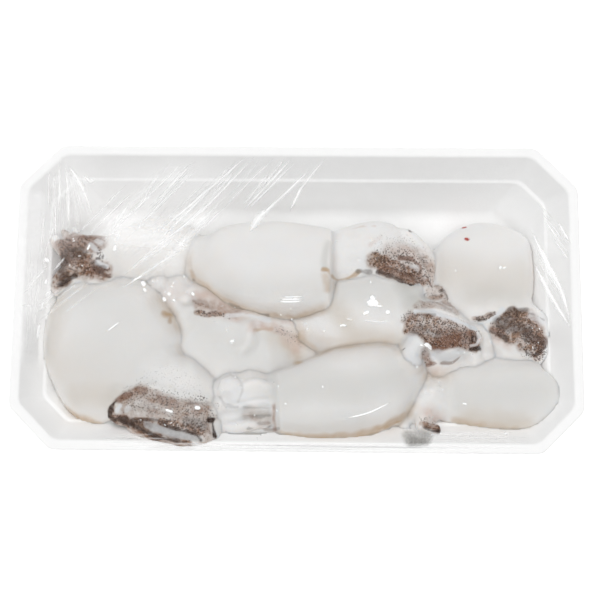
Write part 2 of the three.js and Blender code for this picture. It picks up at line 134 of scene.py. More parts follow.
SQUID["squid_3"] = {
    "mantle": [
        [-6, -13.5, 12.5, 9, 7.5],
        [8, -9.5, 13.5, 14.5, 9.5],
        [22, -7, 14.8, 17.5, 11],
        [37, -5.6, 15.5, 18.3, 12],
        [51, -5.2, 16, 16, 11],
        [60, -6, 16.5, 12.5, 9.5],
    ],
    "head": [
        [54, -7, 17, 11, 8], [63, -13.5, 20, 13, 9.5],
        [73, -18, 21, 12.5, 9.5], [84, -21, 19, 8, 7],
    ],
    "eyes": [[71, -23, 26, 4]],
    "arms": [
        ([[50, -9, 26], [61, -4, 27], [74, -9, 27], [85, -18, 25]], 2.6, 2.2),
        ([[78, -14, 22], [88, -17, 21], [91, -24, 19], [86, -30, 17]], 4.0, 2.4),
        ([[76, -22, 24], [84, -24, 23], [85, -30, 20], [78, -31, 18]], 4.0, 2.4),
        ([[60, -19, 26], [56, -23, 27.5], [54, -28, 27.5], [57, -33, 26]], 5.0, 3.6),
        ([[64, -22, 22], [66, -30, 22], [72, -34, 20], [79, -30, 19]], 4.0, 2.2),
        (
            [
                [82, -16, 27], [86, -16.5, 27.5], [87.5, -19.5, 27],
                [84.5, -22.5, 26.5], [81.8, -20.5, 26.5],
            ],
            1.3, 1.0,
        ),
    ],
}
SQUID["squid_4"] = {
    "mantle": [
        [91, 41, 12, 17, 8],
        [91.5, 30, 13.5, 22.5, 10],
        [92, 18, 14.5, 24, 11],
        [93, 5, 14.5, 22.6, 10.5],
        [94, -6, 14.5, 19, 9],
    ],
    "head": [
        [94, 0, 14, 13, 8], [100, -9, 16, 14.5, 9],
        [107, -17, 17, 12.5, 8.5], [113, -25, 17, 8, 6.5],
    ],
    "eyes": [[103, -6, 23, 4]],
    "arms": [
        ([[104, -6, 19], [113, -6, 20], [119, -12, 20], [120, -22, 20]], 5.0, 3.0),
        ([[108, -12, 21], [114, -17, 22], [118, -24, 21], [113, -29, 19]], 4.5, 2.6),
        ([[96, -8, 20], [87, -8, 21], [79, -11, 21], [73, -9, 19]], 3.2, 2.0),
        ([[95, -13, 18], [87, -16, 19], [82, -23, 18], [88, -28, 16]], 3.6, 2.2),
        ([[97, -12, 20], [98, -20, 20], [105, -26, 19], [111, -30, 18]], 4.5, 2.4),
    ],
}
SQUID["squid_5"] = {
    "mantle": [
        [128, -43.5, 23.5, 9, 6.5],
        [115, -45, 20.5, 15, 9.5],
        [100, -46, 18, 17.4, 11],
        [84, -46.5, 17, 15.6, 10.5],
        [71, -46.5, 17.5, 11.5, 9],
    ],
    "head": [
        [76, -47, 17, 9.5, 7], [67, -48, 19, 10.5, 8],
        [61, -53, 21, 8.5, 7], [59, -60, 23, 6, 5],
    ],
    "eyes": [[66, -44, 24, 3.5]],
    "arms": [
        ([[68, -44, 20], [63, -41, 21], [62, -37, 20], [67, -35, 18]], 4.0, 2.2),
        ([[64, -52, 24], [60, -58, 26], [63, -64, 27], [68, -61, 26]], 4.0, 2.6),
        ([[60, -52, 20], [54, -56, 21], [52, -62, 23], [57, -65, 25]], 3.6, 2.2),
    ],
}
SQUID["squid_6"] = {
    "mantle": [
        [-100, 10, 14, 20, 9],
        [-96, -4, 17, 28.5, 12],
        [-90.5, -21, 18.5, 32.5, 13],
        [-84.5, -38, 18.5, 30.5, 12.5],
        [-76, -51, 18, 20, 10],
    ],
    "head": [
        [-72, -42, 23, 12, 7], [-63, -40, 25, 13, 8],
        [-53, -45, 24.5, 13, 8], [-43, -54, 23, 9.5, 7],
    ],
    "eyes": [[-56, -37, 29, 4]],
    "arms": [
        ([[-40, -50, 26], [-53, -48, 29], [-70, -45, 30], [-84, -50, 28]], 5.0, 3.8),
        ([[-36, -56, 27], [-52, -54, 31], [-70, -51, 31], [-87, -55, 27]], 5.2, 3.8),
        ([[-35, -62, 28], [-52, -61, 32], [-70, -58, 31], [-86, -59, 27]], 5.0, 3.6),
        ([[-36, -66, 29], [-50, -67, 33], [-66, -65.5, 31.5], [-80, -61, 27]], 4.6, 3.2),
        ([[-38, -59, 21], [-52, -60, 23], [-66, -57, 23], [-80, -55, 22]], 7.0, 6.0),
    ],
}
SQUID["squid_7"] = {
    "mantle": [
        [-4, -30, 13, 11, 7.5],
        [-16, -28.5, 13.8, 17, 9.5],
        [-30, -27, 14.3, 19.8, 10.5],
        [-44, -24, 14.3, 17.5, 10.2],
        [-54, -18, 14, 11.5, 8.5],
    ],
    "head": [
        [-50, -20, 13, 9, 7], [-54, -9, 13.5, 9.5, 8],
        [-58, 1, 14.5, 11.5, 9], [-62, 11, 14, 9.5, 7.5],
    ],
    "eyes": [[-54, 0, 22, 4]],
    "arms": [
        ([[-56, 4, 20], [-46, 2, 21], [-38, -4, 21], [-30, -8, 20]], 4.0, 2.6),
        ([[-52, -2, 17], [-40, -6, 19], [-26, -10, 20], [-14, -12, 20]], 4.0, 2.2),
        ([[-28, -9, 20], [-23, -13, 22], [-23, -20, 24], [-26, -25, 24.5]], 1.8, 1.2),
        ([[-36, -8, 21], [-28, -8, 23], [-19, -9, 22.6], [-12, -11.5, 20]], 1.8, 1.2),
        ([[-64, 8, 19], [-70, 5, 20], [-70, -2, 19], [-64, -4, 17]], 4.0, 2.6),
        ([[-24, -10, 18], [-13, -11, 18], [-4, -13, 17], [3, -17, 16]], 4.6, 3.4),
        ([[-14, -12, 12], [-6, -18, 13], [2, -24, 12], [8, -28, 10]], 6.0, 5.0),
    ],
}
SQUID["squid_8"] = {
    "mantle": [
        [-45, 27, 12, 11, 7],
        [-58, 25.5, 13, 15.5, 9],
        [-71, 24, 13.6, 17.8, 9.8],
        [-84, 21.5, 13.6, 15, 9.5],
        [-93, 20, 13.6, 11.5, 8.5],
    ],
    "head": [
        [-88, 20, 13.5, 10, 7.5], [-98, 19.5, 15, 12.5, 9],
        [-108, 18.5, 16, 12, 8.5], [-117, 17, 17, 8, 6.5],
    ],
    "eyes": [[-97, 27, 22, 3.5]],
    "arms": [
        ([[-100, 24, 20], [-106, 28, 21.5], [-112, 30, 21.5], [-116, 34, 21]], 4.6, 1.4),
        ([[-98, 25, 18], [-103, 28, 19], [-109, 31, 19], [-111, 36, 19]], 4.2, 1.2),
        ([[-93, 22, 18], [-95, 27, 19], [-100, 29, 19.5], [-106, 27, 20]], 3.6, 2.6),
        ([[-105, 18, 21], [-112, 22, 23], [-117, 26, 23], [-120, 31, 22]], 4.6, 2.2),
        ([[-103, 14, 20], [-110, 13, 22], [-116, 9, 22], [-118, 2, 21]], 5.0, 2.4),
        ([[-98, 14, 19], [-99, 10, 22], [-93, 8, 22], [-89, 7, 20]], 4.6, 2.2),
    ],
}

TIP_ROUND = 0.3  # share of the length over which an end is rounded
MOUTH_ROUND = 0.05
END_ROUND = 0.2
MANTLE_FULLNESS = 0.8  # below 1, a cross-section is squarer than an ellipse
NECK_BLEND = 6.0
FIRM_NECK_BLEND = 2.0
ARM_BLEND = 1.0
EYE_BLEND = 1.5
SWELL_SIZE = 16.0  # soft unevenness of the whole body
SWELL_HEIGHT = 0.8
LUMP_SIZE = 4.5  # finer unevenness of head and arms
LUMP_HEIGHT = 0.45
WAVER_SIZE = 3.0  # unevenness of the strokes' edges
WAVER = 0.9
PRESS_GAP = 0.05  # clear space between squid that press on each other
PRESS_BLEND = 0.9
FILM_ROOM = 0.8  # for the film and its creases over the highest squid
ROOF_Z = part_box("film_wrap")[1].z / MM - FILM_ROOM
ROOF_BLEND = 2.0

# Colour of the squid, as strokes (colour, strength, half width, [[x, y], ...])
# seen from above. "brown" is skin with speckles, "dots" speckles alone, "pale"
# bare arms on brown skin, "warm" a soft warm tone of the white flesh, "shade"
# greyer, darker patches, partly the flesh's own tone and partly painted shade on
# lower sides and next to a head, and "tan" the stain of its juice.
PAINT = {}
PAINT["squid_1"] = [
    ("brown", 0.35, 9, [[46, 22], [57, 20], [65, 13]]),
    ("brown", 0.95, 5.5, [[38, 19.5], [46, 17], [55, 13.5], [61, 11]]),
    ("brown", 1.0, 4.5, [[42, 15], [49, 12], [55, 9.5]]),
    ("rust", 0.6, 3, [[41, 15.5], [48, 13], [54, 10.5]]),
    ("brown", 0.6, 3.5, [[62, 21], [66.5, 15], [69, 7]]),
    ("dots", 0.45, 9, [[43, 27], [52, 27], [60, 22], [67, 12]]),
    ("dots", 0.8, 6, [[40, 21.5], [50, 22], [60, 19], [66, 10]]),
    ("dots", 1.0, 5, [[40, 18.5], [50, 16.5], [60, 12]]),
    ("rust", 0.75, 1.0, [[50, 21.2], [55, 20.4], [60, 17], [63.5, 11.5], [66, 6]]),
    ("rust", 0.5, 3, [[50, 13], [56, 12], [61, 10]]),
    ("pale", 0.5, 1.8, [[55.5, 17], [58, 16]]),
    ("pale", 0.6, 2.5, [[58.5, 6], [61.5, 4]]),
    ("dark", 0.75, 1.4, [[39, 14], [45, 11.8], [50, 9.3], [54, 7.2]]),
    ("dark", 0.95, 1.8, [[53.5, 6.8], [57, 5.8]]),
    ("dark", 0.85, 0.7, [[64, 7], [65.5, 5], [70, 5]]),
    ("brown", 0.8, 1.8, [[65, 1.5], [70, 2]]),
    ("brown", 0.4, 3.5, [[61, 1], [64, 4.5], [70, 4.5], [73, 1], [71, -3]]),
    ("dots", 0.6, 3.5, [[61, 1], [64, 4.5], [70, 4.5], [73, 1], [71, -3]]),
    ("dark", 0.45, 0.5, [[60.5, 0], [62, 3.5], [66, 5], [71, 4.5], [73.5, 1]]),
    ("dark", 0.6, 0.6, [[66, 2.6], [70, 3]]),
    ("brown", 0.55, 3, [[72, 0], [74, -4], [78, -8]]),
    ("dark", 0.8, 1.3, [[74.5, -6.5], [76, -6.7]]),
    ("dark", 0.9, 1.0, [[78.5, -8.6], [80, -8.6]]),
    ("dark", 0.7, 0.6, [[54.5, 35.5], [55.5, 34.5]]),
    ("pink", 0.5, 0.7, [[27, 35.5], [31, 36.5], [38, 36.8]]),
    ("pink", 0.35, 2, [[36, 27], [41, 31]]),
    ("tan", 0.9, 1.7, [[12.5, 13.5], [15, 13], [16, 11], [20, 9.5], [25, 10.5], [30, 13.5]]),
    ("tan", 0.6, 4, [[14, 10], [14.5, 4]]),
    (
        "tan", 0.7, 3.2,
        [[-52, 14], [-49, 8], [-44, 4], [-36, 0], [-27, -5], [-20, -7.5], [-6, -9], [12, -8]],
    ),
    ("dark", 0.4, 1.0, [[-50.5, 9.5], [-48, 7.2], [-44.5, 5]]),
    ("dark", 0.4, 0.9, [[-33, -2.5], [-27, -5], [-20, -7.6], [-14, -8.4]]),
    ("dark", 0.55, 0.7, [[18.7, 0], [19.8, -2.5], [19.6, -5.5]]),
    ("dark", 0.5, 1.0, [[29.5, 13.9], [32, 13.6], [36, 14]]),
    ("shade", 0.6, 3, [[14.5, 27], [13.5, 20], [13.5, 14]]),
    ("dots", 0.3, 2.5, [[37, 27], [41, 31]]),
    ("pink", 0.5, 6, [[48, 24], [60, 22], [68, 12]]),
    ("warm", 0.2, 14, [[-44, 16], [-36, 8]]),
    ("shade", 0.25, 12, [[-30, 4], [0, 4], [16, 6]]),
]
PAINT["squid_2"] = [
    ("pink", 1.0, 2.4, [[-9.5, -52], [-9, -60], [-9, -65]]),
    ("brown", 0.55, 1.7, [[-9.5, -52.5], [-9.3, -57], [-9.3, -62]]),
    ("shade", 0.9, 6, [[-24, -56], [-13, -57]]),
    (
        "dark", 0.14, 0.7,
        [[-37, -44], [-35.5, -39.5], [-31, -37.3], [-26.5, -40], [-25, -45], [-27, -50]],
    ),
    ("dark", 0.2, 0.4, [[-24, -53], [-17, -53.3], [-12, -53]]),
    ("dark", 0.24, 0.5, [[-24, -56.5], [-17, -57], [-12, -56.5]]),
    ("dark", 0.22, 0.4, [[-23, -59.5], [-17, -60.3], [-12, -60]]),
    ("brown", 0.3, 5, [[-22, -56], [-13, -58]]),
    ("dark", 0.35, 0.5, [[-22, -62.5], [-14, -63], [-8, -62.5]]),
    ("dots", 0.7, 3, [[-37, -52], [-38, -60], [-33, -66]]),
    ("dots", 0.5, 4, [[-37, -60], [-34, -66]]),
    ("pink", 0.6, 3, [[-37, -62], [-32, -67]]),
    ("pink", 0.35, 1.2, [[-24, -56], [-12, -60.5]]),
    ("pink", 0.35, 1.0, [[-22, -60], [-12, -64]]),
    ("dark", 0.2, 0.5, [[-36, -48], [-33, -52], [-27, -53]]),
    ("tan", 0.8, 3.5, [[-8, -65.5], [8, -66.5], [24, -66], [38, -63], [52, -56]]),
    ("tan", 1.0, 1.8, [[-8, -66.5], [8, -67.5], [24, -67], [38, -64], [50, -58]]),
    ("pale", 0.3, 10, [[-32, -46], [-29, -52], [-33, -61]]),
    ("shade", 0.55, 18, [[-6, -46], [8, -42], [28, -44], [44, -39]]),
    ("shade", 0.4, 14, [[-4, -61], [15, -60], [28, -58]]),
]
PAINT["squid_3"] = [
    ("brown", 0.8, 7.5, [[57, -12], [66, -12.5], [74, -15], [81, -17.5]]),
    ("brown", 0.9, 4, [[52, -13.5], [58, -16.5], [64, -20], [70, -22]]),
    ("brown", 1.0, 3.5, [[74, -21.5], [80, -22.5], [85, -23]]),
    ("brown", 0.8, 2.5, [[53, -12], [57, -8.5], [64, -8], [71, -9.5]]),
    ("dots", 0.9, 8.5, [[55, -12], [66, -13], [76, -15], [83, -18]]),
    ("rust", 0.5, 6, [[70, -19], [78, -19], [84, -20]]),
    ("rust", 0.95, 4.5, [[67, -22.5], [71, -21.5], [76, -19.5]]),
    ("rust", 0.7, 1.6, [[80, -16], [84, -16.5]]),
    ("pale", 0.9, 1.5, [[57, -6.3], [64, -6.3], [70, -8.2], [76, -10.4], [81, -12.2], [85.5, -14.5]]),
    ("pale", 0.6, 1.0, [[86.2, -16], [87.6, -18.5], [86, -21.8], [83, -22.3]]),
    ("pale", 0.6, 3, [[66, -27], [73, -27.5], [78, -25.5]]),
    ("pale", 0.6, 5, [[55, -20], [54, -27], [57, -32]]),
    ("dark", 0.95, 1.1, [[84, -18.2], [83.8, -20.4]]),
    ("dark", 0.95, 1.3, [[83, -24.2], [87.5, -23.2]]),
    ("dark", 0.45, 1.2, [[55, -15.5], [58, -16.8], [61.5, -19.5]]),
    ("dark", 0.35, 3, [[58, -14], [66, -18]]),
    ("dark", 0.4, 1.0, [[58, -7.8], [66, -7.6]]),
    ("brown", 0.6, 3, [[61, -26], [63, -29.5]]),
    ("dots", 0.7, 3, [[61, -26], [63, -30]]),
    ("rust", 0.6, 0.8, [[58, -33], [66, -30.8], [75, -30.2], [80, -26]]),
    ("dark", 0.6, 0.5, [[50.5, -25], [52.5, -23.5], [53.2, -24.5]]),
    ("pink", 0.5, 5, [[60, -33], [68, -35]]),
    ("brown", 0.45, 3, [[57, -4], [66, -2.5], [76, -6]]),
    ("dots", 0.6, 3, [[57, -4], [66, -2.5], [76, -6]]),
    # Painted shade: the mantle grows darker towards its head.
    ("shade", 0.5, 14, [[20, 4], [36, 4], [44, 2]]),
    ("shade", 1.0, 12, [[52, 6], [57, -2]]),
    ("warm", 0.6, 10, [[18, -4], [28, -18], [48, -21]]),
    ("tan", 0.3, 6, [[6, -18], [18, -21], [34, -24]]),
]
PAINT["squid_4"] = [
    ("brown", 1.0, 7, [[99, -12], [105, -9], [111, -10], [114, -16]]),
    ("brown", 1.0, 6.5, [[97, -14], [106, -17], [114, -21]]),
    ("brown", 1.0, 4, [[108, -22], [116, -23], [115, -26]]),
    ("dots", 1.0, 9, [[99, -12], [106, -12], [112, -16], [114, -24]]),
    ("rust", 0.7, 2.5, [[94, -14], [98, -15.5]]),
    ("rust", 0.6, 4, [[111, -16], [118, -20]]),
    ("dark", 0.6, 4.5, [[98, -11], [104, -13], [110, -15]]),
    ("dark", 0.6, 2.0, [[102.5, -5], [110, -4.6]]),
    ("dark", 0.45, 3, [[101, -8], [105, -8]]),
    ("dark", 0.7, 1.2, [[93, -15], [98, -17], [100.5, -19]]),
    ("dark", 0.7, 1.4, [[110, -24.5], [114, -26.5], [119, -22.5]]),
    ("dark", 0.5, 3, [[110, -18], [118, -20]]),
    ("pale", 0.35, 2.4, [[102, -15], [105, -14]]),
    ("pale", 0.85, 1.3, [[85, -12.5], [91, -10.8], [95, -8.5], [99, -4.5]]),
    ("pale", 0.8, 2.2, [[90.5, -13], [90.5, -18], [92, -23]]),
    ("pale", 0.45, 2.5, [[113, -7], [118, -10]]),
    ("dark", 0.4, 0.5, [[112, -6.2], [116, -7.4], [119, -9.4]]),
    ("brown", 0.7, 1.8, [[85, -9], [91, -8.5], [95, -6.5]]),
    ("dots", 1.0, 2.2, [[86, -9], [91, -8.8], [95, -6.5]]),
    ("dark", 0.75, 1.2, [[87.5, -9.6], [91.5, -9.4]]),
    ("pink", 0.5, 3.5, [[95, -19], [102, -23]]),
    ("dark", 0.8, 1.0, [[87.5, -27], [89.5, -27]]),
    ("dark", 0.6, 0.5, [[90, -26], [92, -23.5]]),
    ("red", 1.0, 0.9, [[81.8, 37.6], [83, 37.6]]),
    ("red", 1.0, 1.1, [[82.2, 30.6], [82.9, 30.3]]),
    ("warm", 0.4, 18, [[76, 14], [92, 8], [108, 10]]),
    ("shade", 0.45, 9, [[84, 3], [94, 4], [106, 2]]),
]
PAINT["squid_5"] = [
    ("pink", 0.75, 8, [[63, -56], [67, -58]]),
    ("brown", 0.9, 1.8, [[59, -59.5], [63, -61], [68, -61], [70, -59.5]]),
    ("dots", 0.6, 4, [[60, -58], [66, -60]]),
    ("dark", 0.9, 0.7, [[60, -61.5], [64, -63], [69, -62.8], [71, -60]]),
    ("rust", 0.5, 1.5, [[60, -61], [66, -63]]),
    ("rust", 0.4, 3, [[60, -34], [71, -34]]),
    ("dots", 0.35, 4, [[64, -36], [68, -42]]),
    ("shade", 0.5, 24, [[80, -46], [118, -44]]),
    # Darker, warmer and tan along the lower edge, next to the front wall.
    ("warm", 0.7, 10, [[82, -57], [106, -60]]),
    ("tan", 0.7, 4.5, [[75, -58], [90, -61.5], [104, -63]]),
]
PAINT["squid_6"] = [
    ("dots", 0.35, 9, [[-74, -36], [-60, -38], [-50, -44]]),
    ("dots", 0.55, 5, [[-80, -45], [-68, -45.5], [-54, -49], [-45, -50]]),
    ("dots", 0.5, 4, [[-76, -40], [-68, -42]]),
    ("brown", 0.6, 5, [[-80, -49], [-73, -46.5], [-64, -50], [-53, -53], [-43, -54]]),
    ("brown", 0.5, 7, [[-78, -54], [-64, -56], [-52, -58], [-43, -59]]),
    ("brown", 0.7, 5, [[-52, -53], [-44, -56]]),
    ("dots", 0.75, 7, [[-78, -49], [-66, -52], [-52, -56], [-42, -57]]),
    ("brown", 1.0, 3, [[-62, -60], [-53, -62], [-44, -64.5]]),
    ("dots", 1.0, 3, [[-62, -59.5], [-52, -62], [-43, -63.5]]),
    ("brown", 1.0, 3, [[-86, -58.5], [-77, -59.5], [-68, -60.5]]),
    ("brown", 0.8, 2.4, [[-86.5, -51], [-87.5, -56], [-86, -59]]),
    ("brown", 0.9, 2.6, [[-80, -60.5], [-74, -63], [-67, -66.3], [-58, -69], [-49, -70]]),
    ("rust", 0.8, 2.4, [[-84.5, -50], [-81, -48], [-77.5, -47.5]]),
    ("rust", 0.5, 2.0, [[-75, -44.8], [-71, -46]]),
    ("rust", 0.4, 2.6, [[-63, -50], [-56, -51.5]]),
    ("pink", 0.9, 3.5, [[-84, -61.5], [-72, -67], [-61, -71], [-49, -72], [-38, -69.5]]),
    # Two bluish-white spots at the head's left end.
    ("pale", 0.8, 1.7, [[-83.5, -54.5], [-82.5, -53]]),
    ("pale", 0.5, 1.6, [[-79.5, -54.5], [-78.5, -53.5]]),
    ("pale", 0.2, 2.4, [[-74, -50.5], [-66, -53], [-58, -56]]),
    ("shade", 0.6, 16, [[-80, -50], [-60, -54], [-44, -58]]),
    ("pale", 0.6, 1.8, [[-69, -61.5], [-62, -63.8], [-54, -66.3], [-48, -67.5]]),
    ("dark", 0.9, 1.2, [[-84.5, -50], [-87, -53], [-87.8, -57.5]]),
    ("dark", 0.8, 1.1, [[-87, -58.6], [-81, -58.6], [-75, -59.4]]),
    ("dark", 0.6, 0.8, [[-76, -58.6], [-66, -59], [-59, -60.2]]),
    ("dark", 0.4, 2.4, [[-80, -60], [-70, -61.5]]),
    ("dark", 0.85, 0.9, [[-82, -59.5], [-76, -61.8], [-70, -64.6], [-62, -67.8], [-51, -69.4]]),
    ("dark", 0.85, 1.1, [[-61, -61.4], [-52, -64.2], [-46, -66], [-44, -68]]),
    ("dark", 0.4, 3.5, [[-72, -62], [-56, -65.5], [-46, -67]]),
    ("dark", 0.4, 3, [[-50, -60], [-43, -62]]),
    ("dark", 1.0, 1.4, [[-40.2, -59.2], [-38.8, -59.4]]),
    ("dark", 0.9, 0.8, [[-38.6, -60], [-38.2, -63], [-37.4, -66.5]]),
    ("brown", 0.6, 3, [[-42, -60], [-41, -66]]),
    ("dark", 0.35, 0.7, [[-50, -51.6], [-44, -51]]),
    ("dots", 0.9, 2.0, [[-46, -48.5], [-43, -49]]),
    ("shade", 1.0, 3.5, [[-84, -61], [-73, -66.5], [-60, -70.5], [-48, -72], [-38, -69.5]]),
    ("tan", 1.0, 4.0, [[-63, -8], [-60.5, -8]]),
    ("tan", 0.9, 2.6, [[-61.3, -9], [-61, -11.5]]),
    ("shade", 0.3, 26, [[-104, 2], [-80, -10]]),
    ("tan", 0.8, 4, [[-122.5, -36], [-119.5, -45.5], [-114, -52.5], [-105, -58], [-94, -61]]),
    ("warm", 0.35, 28, [[-112, -36], [-92, -48]]),
    ("warm", 0.6, 15, [[-104, -47], [-88, -48]]),
    ("warm", 0.5, 13, [[-118, -4], [-119, -30]]),
    ("shade", 0.3, 30, [[-90, -20], [-75, -30]]),
]
PAINT["squid_7"] = [
    ("brown", 0.4, 4.5, [[-47, -3], [-40, -4.5], [-30, -6]]),
    ("brown", 0.8, 1.6, [[-49, -6.5], [-43, -7.6], [-37, -7.8]]),
    ("dots", 0.9, 1.8, [[-49, -6.3], [-43, -7.5], [-36, -7.7], [-32, -8.7]]),
    ("dots", 0.4, 3, [[-40, -3.5], [-30, -6.5]]),
    ("dots", 0.5, 1.5, [[-30, -5], [-22, -8]]),
    ("brown", 0.6, 0.9, [[-50, -1], [-46, -3.2], [-42, -4.6]]),
    ("pink", 0.9, 9, [[-46, 1], [-38, -3], [-28, -7]]),
    ("shade", 0.5, 9, [[-46, 1], [-38, -4], [-24, -9]]),
    ("warm", 0.5, 9, [[-12, -16], [-4, -21], [1, -27]]),
    ("tan", 0.35, 6, [[-6, -19], [-1, -24], [1, -29]]),
    ("rust", 0.4, 1.2, [[-43, -7.2], [-39, -7.6]]),
    ("pale", 0.6, 1.3, [[-33.5, -8.2], [-26, -7.8], [-18, -9.3], [-13.5, -10.5]]),
    ("tan", 0.7, 1.6, [[-20, -15], [-12, -14.5]]),
    ("pink", 0.8, 6, [[-20, -13.5], [-12, -14], [-5.5, -17], [0.5, -22]]),
    ("pink", 0.7, 4, [[-6, -10], [2, -10.5]]),
    ("dots", 0.5, 5, [[-8, -15], [1, -20]]),
    ("dark", 0.8, 0.9, [[-9.5, -15.5], [-8.5, -15.5]]),
    ("shade", 0.4, 26, [[-48, -16], [-20, -28]]),
    ("pink", 0.35, 9, [[-62, 2], [-50, 6]]),
    ("tan", 1.0, 4, [[-64, -5], [-60.5, -10]]),
    ("tan", 0.8, 5, [[2, -19], [8, -22]]),
]
PAINT["squid_8"] = [
    ("brown", 0.9, 7, [[-99, 27], [-106, 26], [-113, 25]]),
    ("brown", 1.0, 7, [[-95, 13], [-104, 15], [-112, 15], [-116, 12]]),
    ("brown", 1.0, 6, [[-104, 20], [-112, 20]]),
    ("brown", 0.8, 4, [[-112, 9], [-117, 7]]),
    ("brown", 0.6, 3, [[-108, 29], [-115, 32]]),
    ("dots", 0.8, 9, [[-99, 16], [-108, 16], [-106, 24]]),
    ("rust", 0.35, 6, [[-98, 28], [-110, 27]]),
    ("rust", 0.5, 5, [[-105, 18], [-112, 19]]),
    ("rust", 0.55, 1.6, [[-107, 30], [-101, 30.5], [-95.5, 29.5]]),
    ("rust", 0.7, 2.6, [[-102, 13], [-96, 13.5]]),
    ("rust", 0.6, 1.5, [[-94, 11], [-91, 10.5]]),
    ("dark", 0.55, 4, [[-106, 22], [-112, 21], [-115, 15], [-113, 9]]),
    ("dark", 0.5, 1.2, [[-99, 17.5], [-98.5, 14], [-95, 12.5]]),
    ("dark", 0.8, 1.6, [[-108, 10.5], [-113, 7.5], [-115, 6.5]]),
    ("dark", 0.5, 1.6, [[-121, 13], [-116, 16], [-111, 14]]),
    ("dark", 0.5, 1.4, [[-100, 17], [-97, 15], [-94.5, 15]]),
    ("dark", 0.5, 1.0, [[-94.5, 11.5], [-91, 10]]),
    ("pink", 0.6, 3, [[-121, 29], [-119, 24]]),
    ("pink", 0.5, 2, [[-118, 5], [-118, 3]]),
    ("pale", 0.7, 1.5, [[-101, 26], [-98.5, 23.5]]),
    ("pale", 0.8, 1.4, [[-97.5, 17.5], [-93, 16]]),
    ("pale", 0.6, 1.8, [[-98, 28.5], [-96, 27.5]]),
    ("dots", 1.0, 2.8, [[-97.5, 23.5], [-95.5, 20]]),
    ("dark", 0.6, 0.6, [[-98, 19.5], [-95, 19.2]]),
    ("warm", 0.25, 24, [[-86, 20], [-54, 26]]),
    ("warm", 0.8, 9, [[-52, 14], [-46, 8]]),
]
COLOURS = ("brown", "dots", "rust", "dark", "pink", "pale", "red", "warm", "shade", "tan")
ANYWHERE = ("red", "dark", "warm", "shade", "tan")  # every other colour stays on head and arms
TONES = ("pink", "warm", "shade", "tan")  # fade all the way across their half width

# Tan round the squid (strength, half width, [[x, y], ...]): juice that gathers
# between them, and a tan band along their front edges next to the front wall.
TAN_JUICE = [
    (0.9, 6, [[-53, 19.5], [-48, 9], [-40.5, 2.5], [-30.5, -3], [-18, -6.5], [-3.5, -7.5], [11.5, -6]]),
    (0.6, 5, [[18, 19.5], [17.5, 13], [18, 5.5]]),
    (0.9, 6, [[-119.5, -46.5], [-114.5, -53], [-105.5, -58.5], [-95.5, -60.5]]),
    (0.4, 6, [[-123, -34.5], [-125, -15]]),
    (1.0, 7, [[-67.5, -3.5], [-62, -8], [-59.5, -14.5]]),
    (0.5, 5, [[-58, -24], [-54.5, -30]]),
    (1.0, 4, [[-1, -26], [1, -30]]),
    (0.8, 12, [[1.5, -18.5], [16.5, -23.5], [41, -23.5]]),
    (0.9, 7, [[-27, -66], [2, -65.5], [26, -63.5], [48, -57.5], [55, -53.5]]),
    (0.8, 7, [[72.5, -59.5], [84.5, -60.5], [99, -63], [118.5, -59]]),
    (0.5, 5, [[114, 27], [117, 14.5], [116, 2]]),
    (0.7, 8, [[62, -36], [72, -38]]),
]

# -------------------------------------------------------------------- creases, painted highlights and haze

# Creases of the stretched film, as (width, strength, [[x, y], ...]). They are low
# folds, and their white is partly the folded film's own whitening and partly a
# painted reflection of the lights on them.
CREASES_AND_REFLECTIONS = [
    (0.7, 0.9, [[-116, 66.5], [-115.2, 50], [-115.3, 39]]),
    (0.6, 0.7, [[-120.8, 62], [-120.2, 41]]),
    (0.7, 0.9, [[-113, 64.5], [-110.8, 48.5], [-110, 33]]),
    (0.9, 0.9, [[-111.5, 63.5], [-105, 53.5], [-98, 38]]),
    (0.7, 0.6, [[-112, 63.5], [-107, 57.5], [-102.5, 47.5]]),
    (1.8, 0.35, [[-118, 61], [-117.5, 48], [-117.5, 36]]),
    (1.8, 0.35, [[-112.5, 62], [-108.5, 52], [-107, 43]]),
    (1.0, 0.9, [[-104, 58.7], [-100.3, 55.3], [-98.2, 57.2]]),
    (0.9, 0.6, [[-80.5, 46], [-86, 37.5], [-91.5, 26.5]]),
    (0.9, 0.5, [[-67, 60], [-72, 51], [-76.5, 41.5]]),
    (1.3, 0.6, [[-50.5, 66], [-60, 55.5], [-67, 45.5]]),
    (0.7, 1.0, [[-23, 70], [-37, 57.5], [-51, 45], [-76, 23]]),
    (0.8, 1.0, [[-19.5, 70], [-33, 55.5], [-47, 41], [-67, 24.5], [-87, 8]]),
    (0.8, 0.9, [[-2, 68.5], [-14.5, 55], [-27, 42]]),
    (0.7, 0.7, [[-1, 66], [-13, 54], [-25, 42]]),
    (1.1, 1.0, [[6, 62.5], [-4, 52.5], [-14.5, 43], [-20, 38]]),
    (2.4, 1.1, [[-14, 43.5], [-19, 39], [-23.5, 31.5]]),
    (0.8, 0.8, [[14, 68.5], [2.5, 54], [-4.5, 41]]),
    (1.0, 0.7, [[2, 55], [-0.5, 49], [-3.5, 43]]),
    (0.7, 0.9, [[-53.5, 24], [-70, 13.5], [-86, 3]]),
    (0.6, 0.6, [[-56, 30], [-72, 19], [-86, 8]]),
    (1.3, 0.9, [[-60, 28], [-53, 23.5]]),
    (0.7, 0.7, [[-119, 14.7], [-125, 7.5], [-131, -1]]),
    (0.6, 0.6, [[-112, 5], [-119, -1.5], [-126.5, -7.5]]),
    (0.7, 0.8, [[-111, 19], [-117.5, 11]]),
    (0.6, 0.5, [[-118, 35.5], [-120, 24], [-122, 13]]),
    (0.7, 1.4, [[-83.5, -12.5], [-90.5, -18]]),
    (1.3, 1.7, [[111.5, 33], [119, 16.5], [125.5, 3], [129.5, -12.5]]),
    (1.2, 1.5, [[112.5, 17.5], [120.5, 1], [129.5, -14.5]]),
    (1.0, 1.2, [[124.5, 37], [127.5, 31.5], [130.5, 26]]),
]
